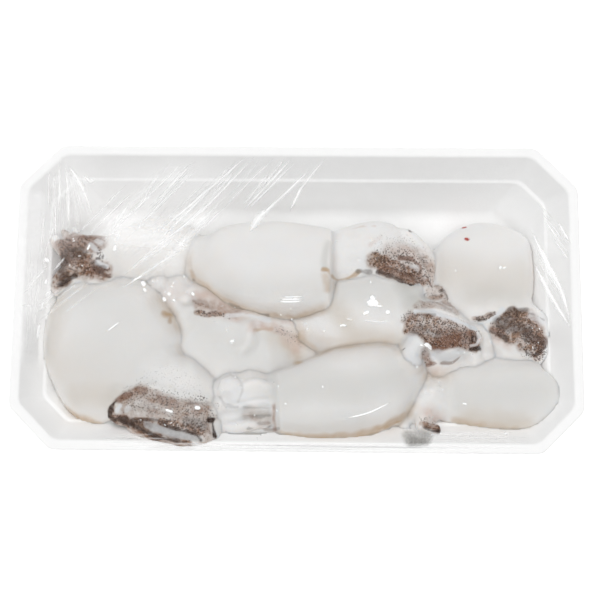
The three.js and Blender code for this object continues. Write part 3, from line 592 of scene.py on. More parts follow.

# Painted highlights: bright wet spots where the film clings, drawn like creases.
GLINTS = [
    (0.9, 3.0, [[-9, -2.1], [-3, -2.2], [3, -1.9]]),
    (0.9, 2.6, [[-8.5, -1], [-3, -1.1], [3.5, -0.9]]),
    (0.7, 2.0, [[-7.5, 0], [-2, 0], [4, 0.3]]),
    (3.4, 3.0, [[33.2, -1.6], [36.5, -2.2], [39.8, -2.2]]),
    (2.2, 3.0, [[35.2, 1.4], [36.4, 0.2], [37.2, -1.2]]),
    (1.2, 2.5, [[38, -3.4], [41.2, -4]]),
    (1.6, 3.0, [[31.5, -7.8], [35, -6.2]]),
    (1.9, 3.0, [[42.3, -6.9], [45, -6.3]]),
    (0.8, 0.9, [[31, -10.4], [38, -11.2], [44.5, -10.8]]),
    (0.7, 0.9, [[23.5, -9.6], [27.5, -10.6]]),
    (1.4, 1.6, [[20.5, -13.8], [22, -13], [24.5, -13.4]]),
    (0.8, 1.2, [[12.5, -15.8], [14, -16]]),
    (2.0, 3.0, [[60, -22.4], [62.4, -23], [64.4, -25.2]]),
    (1.1, 2.5, [[58.2, -22.6], [60, -23.2]]),
    (0.9, 2.2, [[22, -58], [34, -55], [45.5, -49.4]]),
    (1.2, 3.0, [[-61, -54.3], [-56.5, -55.7]]),
    (1.8, 3.0, [[-47.3, -53.3], [-44, -53.6]]),
    (1.4, 2.0, [[96.4, 13.6], [97.6, 15.6]]),
    (1.0, 2.0, [[98, 14], [99.8, 15]]),
    (0.9, 1.2, [[75.5, 13], [76.5, 13.3]]),
    (1.1, 2.0, [[78.4, -49.7], [81, -50.2]]),
    (1.1, 2.0, [[12.6, -42.4], [12.8, -44]]),
    (1.0, 2.0, [[-5.3, -51.2], [-3.9, -51.1]]),
    (1.4, 2.2, [[97.6, -64.4], [99.6, -63.2]]),
    (2.0, 2.8, [[-74.8, 7.8], [-73.3, 5.0]]),
    (1.6, 2.4, [[-74, 4.4], [-72.4, 2.2]]),
    (0.9, 1.8, [[-79.4, 7.7], [-74, 10.4]]),
    (1.7, 2.4, [[-64.6, 0], [-62.8, -2.2]]),
    (1.6, 2.4, [[-62.2, 2.2], [-60.6, 0.6]]),
    (1.4, 2.2, [[-59.8, -1], [-58.2, -2.2]]),
    (1.6, 2.2, [[-50.6, 2.4], [-49.2, 0.4]]),
    (2.0, 2.0, [[-118.4, 16.2], [-121.6, 17.2]]),
    (1.6, 2.2, [[-87.2, 25], [-88.2, 21.4]]),
    (1.2, 1.8, [[-85.6, 31], [-87.4, 27.4]]),
    (1.2, 2.0, [[-99.6, 25], [-101.2, 21.6]]),
    (1.4, 1.6, [[-119.8, 8], [-120.8, 5]]),
    (1.5, 2.2, [[-31.8, -21.4], [-29.4, -21]]),
    (1.5, 1.8, [[-123, -13], [-123.8, -21.5]]),
    (1.1, 1.5, [[-121.6, -3], [-122.2, -7]]),
    (1.1, 1.2, [[-118, 2.5], [-121, 0]]),
    (1.1, 0.9, [[-131, -5.5], [-125.5, -5.5]]),
]

# Painted highlights: small glints strewn over wet, uneven parts (count, low corner, high corner).
SPARKLES = [
    (16, (-39, -68), (-6, -37)),
    (10, (-74, -2), (-50, 12)),
    (12, (-48, -16), (12, 0)),
    (5, (18, 0), (40, 34)),
    (8, (56, -34), (84, -24)),
    (8, (88, -24), (118, -4)),
    (6, (60, -60), (70, -38)),
    (9, (-118, 4), (-92, 32)),
    (7, (-84, -62), (-44, -46)),
]
SPARKLE_LENGTH = (0.7, 2.0)
SPARKLE_WIDTH = (0.4, 0.9)
SPARKLE_STRENGTH = (0.6, 1.8)

# Bundles of fainter creases, white partly as painted reflection like those above
# (count, width, strength, first crease, last crease).
BUNDLES = [
    (20, 0.6, 0.55, [[-70, 69], [-108, 28]], [[-5, 69], [-62, 12]]),
    (12, 3.0, 0.25, [[-62, 66], [-100, 22]], [[-10, 66], [-66, 5]]),
    (7, 0.8, 0.50, [[-30, 69], [-50, 46]], [[14, 69], [-6, 42]]),
    (10, 0.6, 0.50, [[-122, 60], [-124, 15]], [[-108, 62], [-100, 40]]),
    (6, 1.6, 0.35, [[-120, 60], [-124, 20]], [[-104, 60], [-98, 36]]),
    (7, 0.6, 0.30, [[-128, 40], [-128, -30]], [[-120, 30], [-124, -20]]),
    (6, 0.6, 0.35, [[-95, 20], [-128, -8]], [[-84, 5], [-120, -25]]),
    (7, 0.5, 0.50, [[112, 55], [130, 32]], [[118, 30], [130, 8]]),
    (6, 0.6, 0.40, [[104, 36], [127, -6]], [[112, 34], [129, 0]]),
    (12, 0.5, 0.45, [[-112, -69.5], [110, -70]], [[-100, -72.5], [118, -72.8]]),
    (8, 0.6, 0.35, [[45, -64], [105, -63]], [[60, -68], [118, -68.5]]),
    (5, 0.6, 0.30, [[-100, -66.5], [-66, -65]], [[-100, -69], [-50, -69.5]]),
]

# Milky film, with one painted reflection (strength, half width, [[x, y], ...]).
HAZE_AND_SHEEN = [
    (0.36, 26, [[-110, 58], [-100, 50]]),
    (0.26, 26, [[-90, 52], [-50, 54]]),
    (0.30, 14, [[-60, 60], [-78, 34]]),
    (0.35, 5, [[-58, 62], [-66, 52], [-74, 42]]),
    # Painted reflection: a bright highlight of the film over the back wall.
    (0.45, 5, [[-58, 38], [-46, 37]]),
    (0.20, 26, [[-122, 50], [-124, 30]]),
    (0.48, 12, [[-127, 46], [-127, -10], [-126, -26]]),
    (0.62, 20, [[-82, 30], [-60, 24]]),
    (0.14, 10, [[122, 30], [126, -10]]),
]

# The thin grey end of an arm caught on the rim, drawn like a bundle of creases.
FLAP = (9, 5.0, 0.6, [[50.5, -61], [53.5, -71.5]], [[64, -61], [61, -70.5]])

# ------------------------------------------------------------------- lattice

VOXEL = 0.6  # every soft form is worked out as distances on one lattice
BAND_VOXELS = 8
BAND = VOXEL * BAND_VOXELS
MARGIN = 2  # lattice steps kept free round a form
TRANSFORM = openvdb.createLinearTransform(VOXEL)
LOW = np.floor(np.array(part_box("film_wrap")[0]) / MM / VOXEL).astype(int) - MARGIN
HIGH = np.ceil(np.array(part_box("film_wrap")[1]) / MM / VOXEL).astype(int) + MARGIN
SHAPE = tuple(HIGH - LOW + 1)
LATTICE_Z = ((np.arange(SHAPE[2]) + LOW[2]) * VOXEL).astype(np.float32)[None, None, :]
NO_BLEND = 0.1  # the sharpest join that smooth_min is given


def smooth_min(a, b, k):
    """The lesser of two distances, with the crease between them filled over about k."""
    h = np.clip(0.5 + 0.5 * (b - a) / k, 0.0, 1.0)
    return b + (a - b) * h - k * h * (1.0 - h)


def smooth_max(a, b, k):
    return -smooth_min(-a, -b, k)


def ease(share):
    """A share from 0 to 1 that leaves 0 and reaches 1 gently."""
    return share * share * (3 - 2 * share)


def level_set(points, quads=None, triangles=None):
    """A closed mesh as signed distances, as (array, its place in the lattice)."""
    grid = openvdb.FloatGrid.createLevelSetFromPolygons(
        np.asarray(points, np.float32),
        triangles=None if triangles is None else np.asarray(triangles, np.uint32),
        quads=None if quads is None else np.asarray(quads, np.uint32),
        transform=TRANSFORM,
        halfWidth=BAND_VOXELS,
    )
    low, high = (np.clip(corner, LOW, HIGH) for corner in grid.evalActiveVoxelBoundingBox())
    block = np.empty(tuple(high - low + 1), np.float32)
    grid.copyToArray(block, ijk=tuple(int(v) for v in low))
    place = tuple(slice(a - o, b - o + 1) for a, b, o in zip(low, high, LOW))
    return block, place


def empty_field():
    return np.full(SHAPE, BAND, np.float32)


def add_solid(field, solid, blend):
    block, place = solid
    field[place] = smooth_min(field[place], block, blend)


def lattice_noise(cell, seed):
    """Smooth random values from -1 to 1 on the whole lattice, with lumps about `cell` wide."""
    step = cell / VOXEL
    coarse_shape = [int(n / step) + 3 for n in SHAPE]
    values = np.random.default_rng(seed).uniform(-1.0, 1.0, coarse_shape).astype(np.float32)
    for axis, count in enumerate(SHAPE):
        position = np.arange(count) / step
        left = position.astype(int)
        share = ease(position - left).astype(np.float32)
        share = share.reshape([-1 if a == axis else 1 for a in range(3)])
        values = np.take(values, left, axis) * (1 - share) + np.take(values, left + 1, axis) * share
    return values


def roughen(field, height, noise):
    near = field < BAND
    field[near] += height * noise[near]


def sample(field, points):
    """Values at points of a field, or at [x, y] of heights on the lattice seen from above."""
    p = np.asarray(points) / VOXEL - LOW[:field.ndim]
    p = np.clip(p, 0, np.array(field.shape) - 1.001)
    i = p.astype(int)
    f = p - i
    total = np.zeros(len(p))
    for corner in np.ndindex((2,) * field.ndim):
        weight = np.prod(np.where(corner, f, 1 - f), axis=1)
        total += weight * field[tuple((i + corner).T)]
    return total


def tops(field):
    """The height of a field's surface seen from above on the lattice, 0 where there is none."""
    inside = field < 0
    k = SHAPE[2] - 1 - np.argmax(inside[:, :, ::-1], axis=2)
    i, j = np.indices(k.shape)
    here = field[i, j, k]
    above = field[i, j, np.minimum(k + 1, SHAPE[2] - 1)]
    z = (k + LOW[2] + here / (here - above)) * VOXEL
    return np.where(inside.any(axis=2), z, 0.0)


def under(heights):
    """A field that is above 0 below heights seen from above."""
    return heights[:, :, None].astype(np.float32) - LATTICE_Z


def neighbours_mean(heights):
    return (heights[2:, 1:-1] + heights[:-2, 1:-1] + heights[1:-1, 2:] + heights[1:-1, :-2]) / 4


# -------------------------------------------------------------------- meshes


def mesh_object(name, points, faces):
    """A smooth mesh object in metres, from points in mm."""
    mesh = bpy.data.meshes.new(name)
    mesh.from_pydata((np.asarray(points) * MM).tolist(), [], faces)
    mesh.shade_smooth()
    obj = bpy.data.objects.new(name, mesh)
    bpy.context.collection.objects.link(obj)
    return obj


def ring_faces(rings, sides):
    """Quads between closed rings of points, and triangles to the two end points after them."""
    i = np.arange(sides)
    j = (i + 1) % sides
    start = (np.arange(rings - 1) * sides)[:, None]
    quads = np.stack([start + i, start + j, start + sides + j, start + sides + i], 2).reshape(-1, 4)
    tail = (rings - 1) * sides
    first = np.full(sides, rings * sides)
    triangles = np.vstack([np.stack([first, j, i], 1), np.stack([first + 1, tail + i, tail + j], 1)])
    return quads, triangles


def ring_mesh(name, rings, first, last):
    """A closed mesh object of rings of equally many points, as arrays of [x, y, z] in mm."""
    quads, triangles = ring_faces(len(rings), len(rings[0]))
    return mesh_object(name, np.vstack([*rings, [first], [last]]), quads.tolist() + triangles.tolist())


SHARP_ANGLE = math.radians(40)  # only where one squid's juice ends inside another's


def mesh_from_field(name, field):
    """The surface of a lattice field as a mesh object."""
    inside = np.argwhere(field < VOXEL)
    low = np.maximum(inside.min(0) - MARGIN, 0)
    high = np.minimum(inside.max(0) + MARGIN + 1, SHAPE)
    block = np.ascontiguousarray(field[low[0]:high[0], low[1]:high[1], low[2]:high[2]])
    grid = openvdb.FloatGrid(BAND)
    grid.transform = TRANSFORM
    grid.copyFromArray(block, ijk=tuple(int(v) for v in low + LOW))
    points, triangles, quads = grid.convertToPolygons(0.0, 0.0)
    faces = [tuple(face[::-1]) for face in triangles.tolist() + quads.tolist()]
    obj = mesh_object(name, points, faces)
    obj.data.set_sharp_from_angle(angle=SHARP_ANGLE)
    return obj


def vertex_positions(obj):
    flat = np.empty(len(obj.data.vertices) * 3, np.float32)
    obj.data.vertices.foreach_get("co", flat)
    return flat.reshape(-1, 3) / MM


def set_attribute(obj, name, values):
    attribute = obj.data.attributes.new(name, "FLOAT", "POINT")
    attribute.data.foreach_set("value", np.asarray(values, np.float32))


# --------------------------------------------------------------- soft bodies

HEAD_MESH = (28, 28)  # points round a loft, and rings along it
ARM_MESH = (16, 28)
EYE_MESH = (20, 14)
MANTLE_MESH = (56, 48)
TANGENT_STEP = 1e-3


def catmull_rom(rows, t):
    """Rows of numbers as one smooth curve, at each t from 0 to 1."""
    rows = np.asarray(rows, float)
    rows = np.vstack([2 * rows[0] - rows[1], rows, 2 * rows[-1] - rows[-2]])
    position = np.asarray(t) * (len(rows) - 3)
    i = np.minimum(position.astype(int), len(rows) - 4)
    u = (position - i)[:, None]
    a, b, c, d = rows[i], rows[i + 1], rows[i + 2], rows[i + 3]
    second = 2 * a - 5 * b + 4 * c - d
    third = 3 * b - a - 3 * c + d
    return 0.5 * (2 * b + (c - a) * u + second * u**2 + third * u**3)


def rounded_end(t, length):
    return np.sqrt(1 - (1 - np.minimum(t / length, 1)) ** 2)


def soft_body(stations, sides, steps, start_round, end_round, fullness=1.0):
    """A closed loft through stations [x, y, z, half width, half height], its width level."""
    t = (1 - np.cos(np.pi * (np.arange(steps) + 0.5) / steps)) / 2
    rows = catmull_rom(stations, t)
    ahead = catmull_rom(stations, np.minimum(t + TANGENT_STEP, 1))
    behind = catmull_rom(stations, np.maximum(t - TANGENT_STEP, 0))
    along = (ahead - behind)[:, :3]
    along = along / np.linalg.norm(along, axis=1)[:, None]
    side = np.stack([-along[:, 1], along[:, 0], np.zeros(steps)], 1)
    side /= np.linalg.norm(side, axis=1)[:, None]
    up = np.cross(along, side)
    taper = rounded_end(t, start_round) * rounded_end(1 - t, end_round)
    angle = 2 * np.pi * np.arange(sides) / sides
    across, over = (np.sign(w) * np.abs(w) ** fullness for w in (np.cos(angle), np.sin(angle)))
    rings = (
        rows[:, None, :3]
        + side[:, None] * (rows[:, 3] * taper)[:, None, None] * across[None, :, None]
        + up[:, None] * (rows[:, 4] * taper)[:, None, None] * over[None, :, None]
    )
    ends = catmull_rom(stations, np.array([0.0, 1.0]))[:, :3]
    return level_set(np.vstack([rings.reshape(-1, 3), ends]), *ring_faces(steps, sides))


def arm_solid(path, root, tip):
    radii = np.linspace(root, tip, len(path))
    stations = [[*p, r, r] for p, r in zip(path, radii)]
    return soft_body(stations, *ARM_MESH, END_ROUND, END_ROUND)


def eye_solid(x, y, z, radius):
    stations = [[end, y, z, radius, radius] for end in (x - radius, x + radius)]
    return soft_body(stations, *EYE_MESH, 1.0, 1.0)


def squid_fields(spec, swell, lumps):
    """A squid's whole field and that of its head and arms, before others press on it."""
    head = empty_field()
    add_solid(head, soft_body(spec["head"], *HEAD_MESH, END_ROUND, END_ROUND), NO_BLEND)
    for eye in spec["eyes"]:
        add_solid(head, eye_solid(*eye), EYE_BLEND)
    for arm in spec["arms"]:
        add_solid(head, arm_solid(*arm), ARM_BLEND)
    roughen(head, LUMP_HEIGHT, lumps)
    whole = empty_field()
    mantle = soft_body(spec["mantle"], *MANTLE_MESH, TIP_ROUND, MOUTH_ROUND, MANTLE_FULLNESS)
    add_solid(whole, mantle, NO_BLEND)
    roughen(whole, SWELL_HEIGHT, swell)
    neck = FIRM_NECK_BLEND if spec.get("firm_mouth") else NECK_BLEND
    return smooth_min(whole, head, neck), head


# ------------------------------------------------------------------- strokes

STROKE_EDGE = 0.55  # share of a stroke's half width over which it fades


def path_distance(points, path):
    """Distance seen from above from points to a path [[x, y], ...]."""
    xy = points[:, :2]
    path = np.asarray(path, float)
    nearest = np.full(len(points), np.inf)
    for a, b in zip(path[:-1], path[1:]):
        along = b - a
        share = np.clip((xy - a) @ along / (along @ along), 0, 1)
        nearest = np.minimum(nearest, np.linalg.norm(xy - a - share[:, None] * along, axis=1))
    return nearest


def stroke_level(points, strength, half_width, path, waver, edge):
    """A stroke's strength at points, its edge wavering with values in mm."""
    inward = 1 - (path_distance(points, path) + waver) / half_width
    return strength * ease(np.clip(inward / edge, 0, 1))


# ----------------------------------------------------------------- materials

WHITE = (1, 1, 1, 1)
SMEAR_GREY = (0.42, 0.41, 0.39, 1)
FOAM_WHITE = (0.95, 0.95, 0.947, 1)
FOAM_SHADE = (0.90, 0.90, 0.897, 1)
FLESH = (0.81, 0.80, 0.785, 1)
COOL_FLESH = (0.79, 0.80, 0.81, 1)
TAN = (0.50, 0.37, 0.25, 1)
PINK = (0.58, 0.455, 0.40, 1)
PLUM = (0.225, 0.115, 0.08, 1)
OLIVE = (0.27, 0.16, 0.085, 1)
SPECKLE = (0.035, 0.017, 0.011, 1)
WARM = (0.61, 0.565, 0.505, 1)
# Grey of the "shade" strokes: partly the flesh's own tone, partly painted shade.
SHADE = (0.59, 0.595, 0.58, 1)
RUST = (0.17, 0.075, 0.04, 1)
PALE = (0.70, 0.72, 0.74, 1)
RED = (0.42, 0.05, 0.035, 1)


class Shading:
    """A new material, with short ways to add nodes to it."""

    def __init__(self, name):
        self.material = bpy.data.materials.new(name)
        self.material.use_nodes = True
        self.nodes = self.material.node_tree.nodes
        self.links = self.material.node_tree.links
        self.shader = self.nodes["Principled BSDF"]
        self.place = self.nodes.new("ShaderNodeTexCoord").outputs["Object"]

    def feed(self, socket, value):
        if isinstance(value, (int, float, tuple)):
            socket.default_value = value
        else:
            self.links.new(value, socket)

    def settings(self, values):
        """Sets or links sockets of the shader, as {socket: value}."""
        for socket, value in values.items():
            self.feed(self.shader.inputs[socket], value)

    def attribute(self, name):
        node = self.nodes.new("ShaderNodeAttribute")
        node.attribute_name = name
        return node.outputs["Fac"]

    def math(self, kind, *values):
        node = self.nodes.new("ShaderNodeMath")
        node.operation = kind
        for socket, value in zip(node.inputs, values):
            self.feed(socket, value)
        return node.outputs[0]

    def times(self, a, b):
        return self.math("MULTIPLY", a, b)

    def scaled(self, value, factor, offset):
        return self.math("MULTIPLY_ADD", value, factor, offset)

    def most(self, a, b):
        return self.math("MAXIMUM", a, b)

    def least(self, a, b):
        return self.math("MINIMUM", a, b)

    def mix(self, factor, a, b):
        node = self.nodes.new("ShaderNodeMix")
        node.data_type = "RGBA"
        self.feed(node.inputs[0], factor)
        self.feed(node.inputs[6], a)
        self.feed(node.inputs[7], b)
        return node.outputs[2]

    def cells(self, scale):
        """Distance from the middles of random cells."""
        node = self.nodes.new("ShaderNodeTexVoronoi")
        node.inputs["Scale"].default_value = scale
        self.links.new(self.place, node.inputs["Vector"])
        return node.outputs["Distance"]

    def specks(self, scale, size):
        """1 within `size` of the middles of random cells, and 0 elsewhere."""
        return self.math("LESS_THAN", self.cells(scale), size)

    def noise(self, scale, detail=3.0, turn=0.0, stretch=None):
        node = self.nodes.new("ShaderNodeTexNoise")
        node.inputs["Scale"].default_value = scale
        node.inputs["Detail"].default_value = detail
        place = self.place
        if stretch:
            mapping = self.nodes.new("ShaderNodeMapping")
            mapping.inputs["Rotation"].default_value = (0, 0, turn)
            mapping.inputs["Scale"].default_value = stretch
            self.links.new(place, mapping.inputs["Vector"])
            place = mapping.outputs["Vector"]
        self.links.new(place, node.inputs["Vector"])
        return node.outputs["Fac"]

    def bump(self, height, strength, distance):
        node = self.nodes.new("ShaderNodeBump")
        node.inputs["Strength"].default_value = strength
        node.inputs["Distance"].default_value = distance
        self.links.new(height, node.inputs["Height"])
        return node.outputs["Normal"]

    def see_through(self, cover, shader):
        """Shows `shader` by the share `cover` and what lies behind by the rest."""
        clear = self.nodes.new("ShaderNodeBsdfTransparent")
        blend = self.nodes.new("ShaderNodeMixShader")
        self.feed(blend.inputs[0], cover)
        self.links.new(clear.outputs[0], blend.inputs[1])
        self.links.new(shader, blend.inputs[2])
        self.links.new(blend.outputs[0], self.nodes["Material Output"].inputs["Surface"])


def flesh_material():
    """Wet flesh, with a layer of colour for each kind of stroke and specks where the skin is brown."""
    s = Shading("squid_flesh")
    rust, pale = s.attribute("rust"), s.attribute("pale")
    cloud = s.math("ADD", s.noise(130.0), s.scaled(s.noise(520.0), 0.8, -0.4))
    brown = s.times(s.attribute("brown"), s.scaled(cloud, 2.0, 0.1))
    density = s.most(s.times(brown, 0.8), s.attribute("dots"))
    density = s.times(density, s.math("SUBTRACT", 1.0, pale))
    dot = s.most(s.specks(1050.0, s.times(density, 0.45)), s.specks(640.0, s.times(density, 0.36)))
    dot_strength = s.least(s.scaled(density, 0.45, 0.3), 0.7)
    fleck = s.specks(900.0, s.times(brown, 0.24))
    skin = s.mix(s.noise(90.0), PLUM, OLIVE)
    dark = s.times(s.attribute("dark"), s.scaled(s.noise(600.0), 0.8, 0.6))
    stain = s.most(s.attribute("stain"), s.attribute("tan"))
    layers = [
        # "shade" strokes: partly the flesh's own greyer tone, partly painted shade.
        (s.attribute("shade"), SHADE),
        (s.attribute("warm"), WARM),
        (s.times(stain, s.math("ADD", s.noise(150.0), 0.5)), TAN),
        (s.times(s.attribute("pink"), s.scaled(s.noise(260.0), 1.6, -0.1)), PINK),
        (s.times(s.least(brown, 1.2), 0.8), skin),
        (rust, RUST),
        (pale, PALE),
        (s.times(dot, dot_strength), SPECKLE),
        (s.times(fleck, 0.45), PINK),
        (s.least(dark, 1.0), SPECKLE),
        (s.attribute("red"), RED),
    ]
    colour = s.mix(s.noise(35.0, 4.0), COOL_FLESH, FLESH)
    for cover, tint in layers:
        colour = s.mix(cover, colour, tint)
    pigment = s.most(s.most(s.most(brown, rust), dark), s.times(dot, 0.8))
    relief = s.times(s.noise(420.0), s.math("ADD", density, 0.35))
    s.settings({
        "Base Color": colour,
        "Roughness": 0.3,
        "Subsurface Weight": s.math("SUBTRACT", 1.0, s.least(pigment, 0.95)),
        "Subsurface Scale": 0.003,
        "Subsurface Radius": (1.0, 0.9, 0.8),
        "Specular IOR Level": 0.2,
        "Coat Weight": 0.15,
        "Coat Roughness": 0.06,
        "Normal": s.bump(relief, 0.45, 0.0008),
    })
    return s.material


def foam_material():
    s = Shading("foam")
    s.settings({
        "Base Color": s.mix(s.noise(260.0, 4.0), FOAM_SHADE, FOAM_WHITE),
        "Roughness": 0.5,
        "Normal": s.bump(s.cells(800.0), 0.10, 0.0003),
    })
    return s.material


def film_material():
    """Clear film that mirrors at a slant, and turns white where it is milky and where a reflection is
    painted on it.
    """
    s = Shading("clear_film")
    streaks = s.noise(60.0, 5.0, turn=-0.8, stretch=(0.25, 2.0, 1.0))
    normal = s.bump(streaks, 0.25, 0.0006)
    facing = s.nodes.new("ShaderNodeLayerWeight")
    s.feed(facing.inputs["Normal"], normal)
    grazing = s.math("POWER", facing.outputs["Facing"], 5.0)
    mirror = s.scaled(grazing, 0.6, 0.008)
    glossy = s.nodes.new("ShaderNodeBsdfGlossy")
    glossy.inputs["Roughness"].default_value = 0.08
    s.feed(glossy.inputs["Normal"], normal)
    s.settings({"Base Color": WHITE, "Roughness": 0.3})
    haze_and_sheen = s.times(s.attribute("haze_and_sheen"), s.math("ADD", streaks, 0.4))
    surface = s.nodes.new("ShaderNodeMixShader")
    s.feed(surface.inputs[0], haze_and_sheen)
    s.links.new(glossy.outputs[0], surface.inputs[1])
    s.links.new(s.shader.outputs[0], surface.inputs[2])
    s.see_through(s.most(mirror, haze_and_sheen), surface.outputs[0])
    return s.material


# White strips for the film's creases and painted highlights, grey for the arm end on the rim.
def crease_and_highlight_material():
    s = Shading("film_crease_and_highlight")
    s.settings({"Base Color": s.mix(s.attribute("smear"), WHITE, SMEAR_GREY), "Roughness": 0.25})
    s.see_through(s.attribute("crease_and_highlight"), s.shader.outputs[0])
    return s.material


# ---------------------------------------------------------------------- tray

CUT_SHRINK = 2 - math.sqrt(2)  # how much shorter a cut corner's legs get for each mm of inset
PROFILE_STEPS = 5
CORNER_STEPS = 6
# The foam from the middle of its upper face round the rim to the middle of the
# underside, as [inset from the rim's edge, z, reach of the rounded corner].
TRAY_PROFILE = [
    [FLOOR_INSET + 12, FLOOR_Z, 0],
    [FLOOR_INSET + 0.2, FLOOR_Z, 4.0],
    [LEDGE_INSET + LEDGE_WIDTH + 0.2, LEDGE_Z - 0.5, 0.6],
    [LEDGE_INSET - 0.2, LEDGE_Z + 0.2, 0.6],
    [RIM_BAND + 0.1, RIM_Z, 1.0],
    [0, RIM_Z, 1.0],
    [0, RIM_Z - LIP_DROP - 0.6, 0.7],
    [RIM_BAND + 1.5, RIM_Z - LIP_DROP - 1.6, 2.0],
    [LEDGE_INSET + LEDGE_WIDTH - FOAM, LEDGE_Z - 2, 2.0],
    [FOOT_INSET, FOOT_Z, 2.0],
    [FLOOR_INSET + FOOT_WIDTH, FOOT_Z, 1.0],
    [FLOOR_INSET + FOOT_WIDTH + 2, FOOT_Z + FOOT_RECESS, 1.0],
    [FLOOR_INSET + FOOT_WIDTH + 8, FOOT_Z + FOOT_RECESS, 0],
]


def round_corner(before, corner, after, reach, steps):
    """Points of a curve that cuts the corner off from `reach` before it to `reach` after it."""
    into = corner + reach * (before - corner) / np.linalg.norm(before - corner)
    out = corner + reach * (after - corner) / np.linalg.norm(after - corner)
    shares = np.arange(steps + 1) / steps
    return [(1 - u) ** 2 * into + 2 * u * (1 - u) * corner + u**2 * out for u in shares]


def tray_outline(inset, side_steps=(1, 1, 1), round_steps=0):
    """Points of the tray's outline `inset` inside its rim, as an array of [x, y].

    side_steps are the pieces that an end, a cut corner and a long side are
    divided into. With round_steps the corners are curves of that many pieces.
    """
    half_length = RIM_LENGTH / 2 - inset
    half_width = RIM_WIDTH / 2 - inset
    cut = max(FLOOR_CUT, CORNER_CUT - CUT_SHRINK * inset)
    x, y = half_length - cut, half_width - cut
    corners = np.array([
        [half_length, -y], [half_length, y], [x, half_width], [-x, half_width],
        [-half_length, y], [-half_length, -y], [-x, -half_width], [x, -half_width],
    ])
    end, slant, long = side_steps
    points = []
    for i, pieces in enumerate([end, slant, long, slant] * 2):
        corner, after = corners[i], corners[(i + 1) % 8]
        if round_steps:
            points += round_corner(corners[i - 1], corner, after, CORNER_ROUND, round_steps)
        else:
            points += [corner + (after - corner) * s / pieces for s in range(pieces)]
    return np.array(points)


def rounded_profile(corners, steps):
    """A profile [inset, z, rounding] with its corners rounded."""
    line = np.array(corners, float)[:, :2]
    points = [line[0]]
    for i in range(1, len(line) - 1):
        points += round_corner(*line[i - 1 : i + 2], corners[i][2], steps)
    return [*points, line[-1]]


def make_tray():
    rings = []
    for inset, z in rounded_profile(TRAY_PROFILE, PROFILE_STEPS):
        xy = tray_outline(inset, round_steps=CORNER_STEPS)[::-1]
        rings.append(np.column_stack([xy, np.full(len(xy), z)]))
    tray = ring_mesh("tray_foam", rings, [0, 0, FLOOR_Z], [0, 0, FOOT_Z + FOOT_RECESS])
    shading = tray.modifiers.new("even_shading", "WEIGHTED_NORMAL")
    shading.keep_sharp = False
    tray.data.materials.append(foam_material())
    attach(tray, "root")
    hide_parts("foam_tray")


# ---------------------------------------------------------------------- film

FILM_REACH = 3.0  # the film rests on the highest squid this near to it
FILM_CLEAR = 0.5
CLING_LEVEL = 27.5  # squid above this height hold the film down to them
STRETCH_PASSES = 2500
FILM_OVER_RIM = 0.25
FILM_UNDER = 0.25  # height of the film under the tray's foot
FILM_STEPS = (48, 9, 90)
FILM_RINGS = 56
RIM_INSETS = (3.4, 2.3, 1.2)  # rings of the film on the flat rim
SIDE_STEPS = 26
HEM_RINGS = 14
SIDE_HAZE = 0.05
END_PUFF = 2.5
PUFF_START = 90  # distance along X from the middle where the gathered ends start
PUFF_FULL = 120
PLEAT_DEPTH = 1.6
PLEAT_WAVES = (37, 53, 71, 96)  # pleats are the sum of waves, this many round the tray
LONG_SIDE_PLEATS = 0.25  # share of their depth at the ends
# The film's sides, from the rim to the foot, as [inset, z, how far the
# gathering at the ends pulls it out, how deep its pleats are].
SIDE_PROFILE = [
    [0.3, RIM_Z + 0.2, 0, 0],
    [-0.4, RIM_Z - 0.4, 0.2, 0],
    [-0.4, RIM_Z - LIP_DROP, 0.6, 0.3],
    [4, LEDGE_Z, 4 + END_PUFF, 1],
    [12, RIM_Z - 20, 6, 1],
    [FOOT_INSET - 1.2, FOOT_Z + 1.4, 0, 0.3],
    [FOOT_INSET - 0.6, FILM_UNDER, 0, 0],
]


def stretch_film(pile, foam):
    """Heights of the film over the squid and the foam, on the lattice seen from above."""
    height = tops(pile)
    need = height.copy()
    for angle in np.arange(8) * math.pi / 4:
        dx, dy = (int(round(FILM_REACH / VOXEL * f(angle))) for f in (math.cos, math.sin))
        need = np.maximum(need, np.roll(height, (dx, dy), (0, 1)))
    need += FILM_CLEAR
    loose = need < CLING_LEVEL
    need = np.maximum(need, tops(foam) + FILM_OVER_RIM)
    x = np.abs(np.arange(SHAPE[0]) + LOW[0])[:, None] * VOXEL
    y = np.abs(np.arange(SHAPE[1]) + LOW[1])[None, :] * VOXEL
    half_length = RIM_LENGTH / 2 - RIM_BAND
    half_width = RIM_WIDTH / 2 - RIM_BAND
    cut = CORNER_CUT - CUT_SHRINK * RIM_BAND
    open_top = (x < half_length) & (y < half_width) & (x + y < half_length + half_width - cut)
    level = RIM_Z + FILM_OVER_RIM
    free = open_top & loose
    film = np.where(free, level, np.maximum(need, level * ~open_top))
    inner = (slice(1, -1), slice(1, -1))
    for _ in range(STRETCH_PASSES):
        film[inner] = np.where(free[inner], np.maximum(neighbours_mean(film), need[inner]), film[inner])
    return film


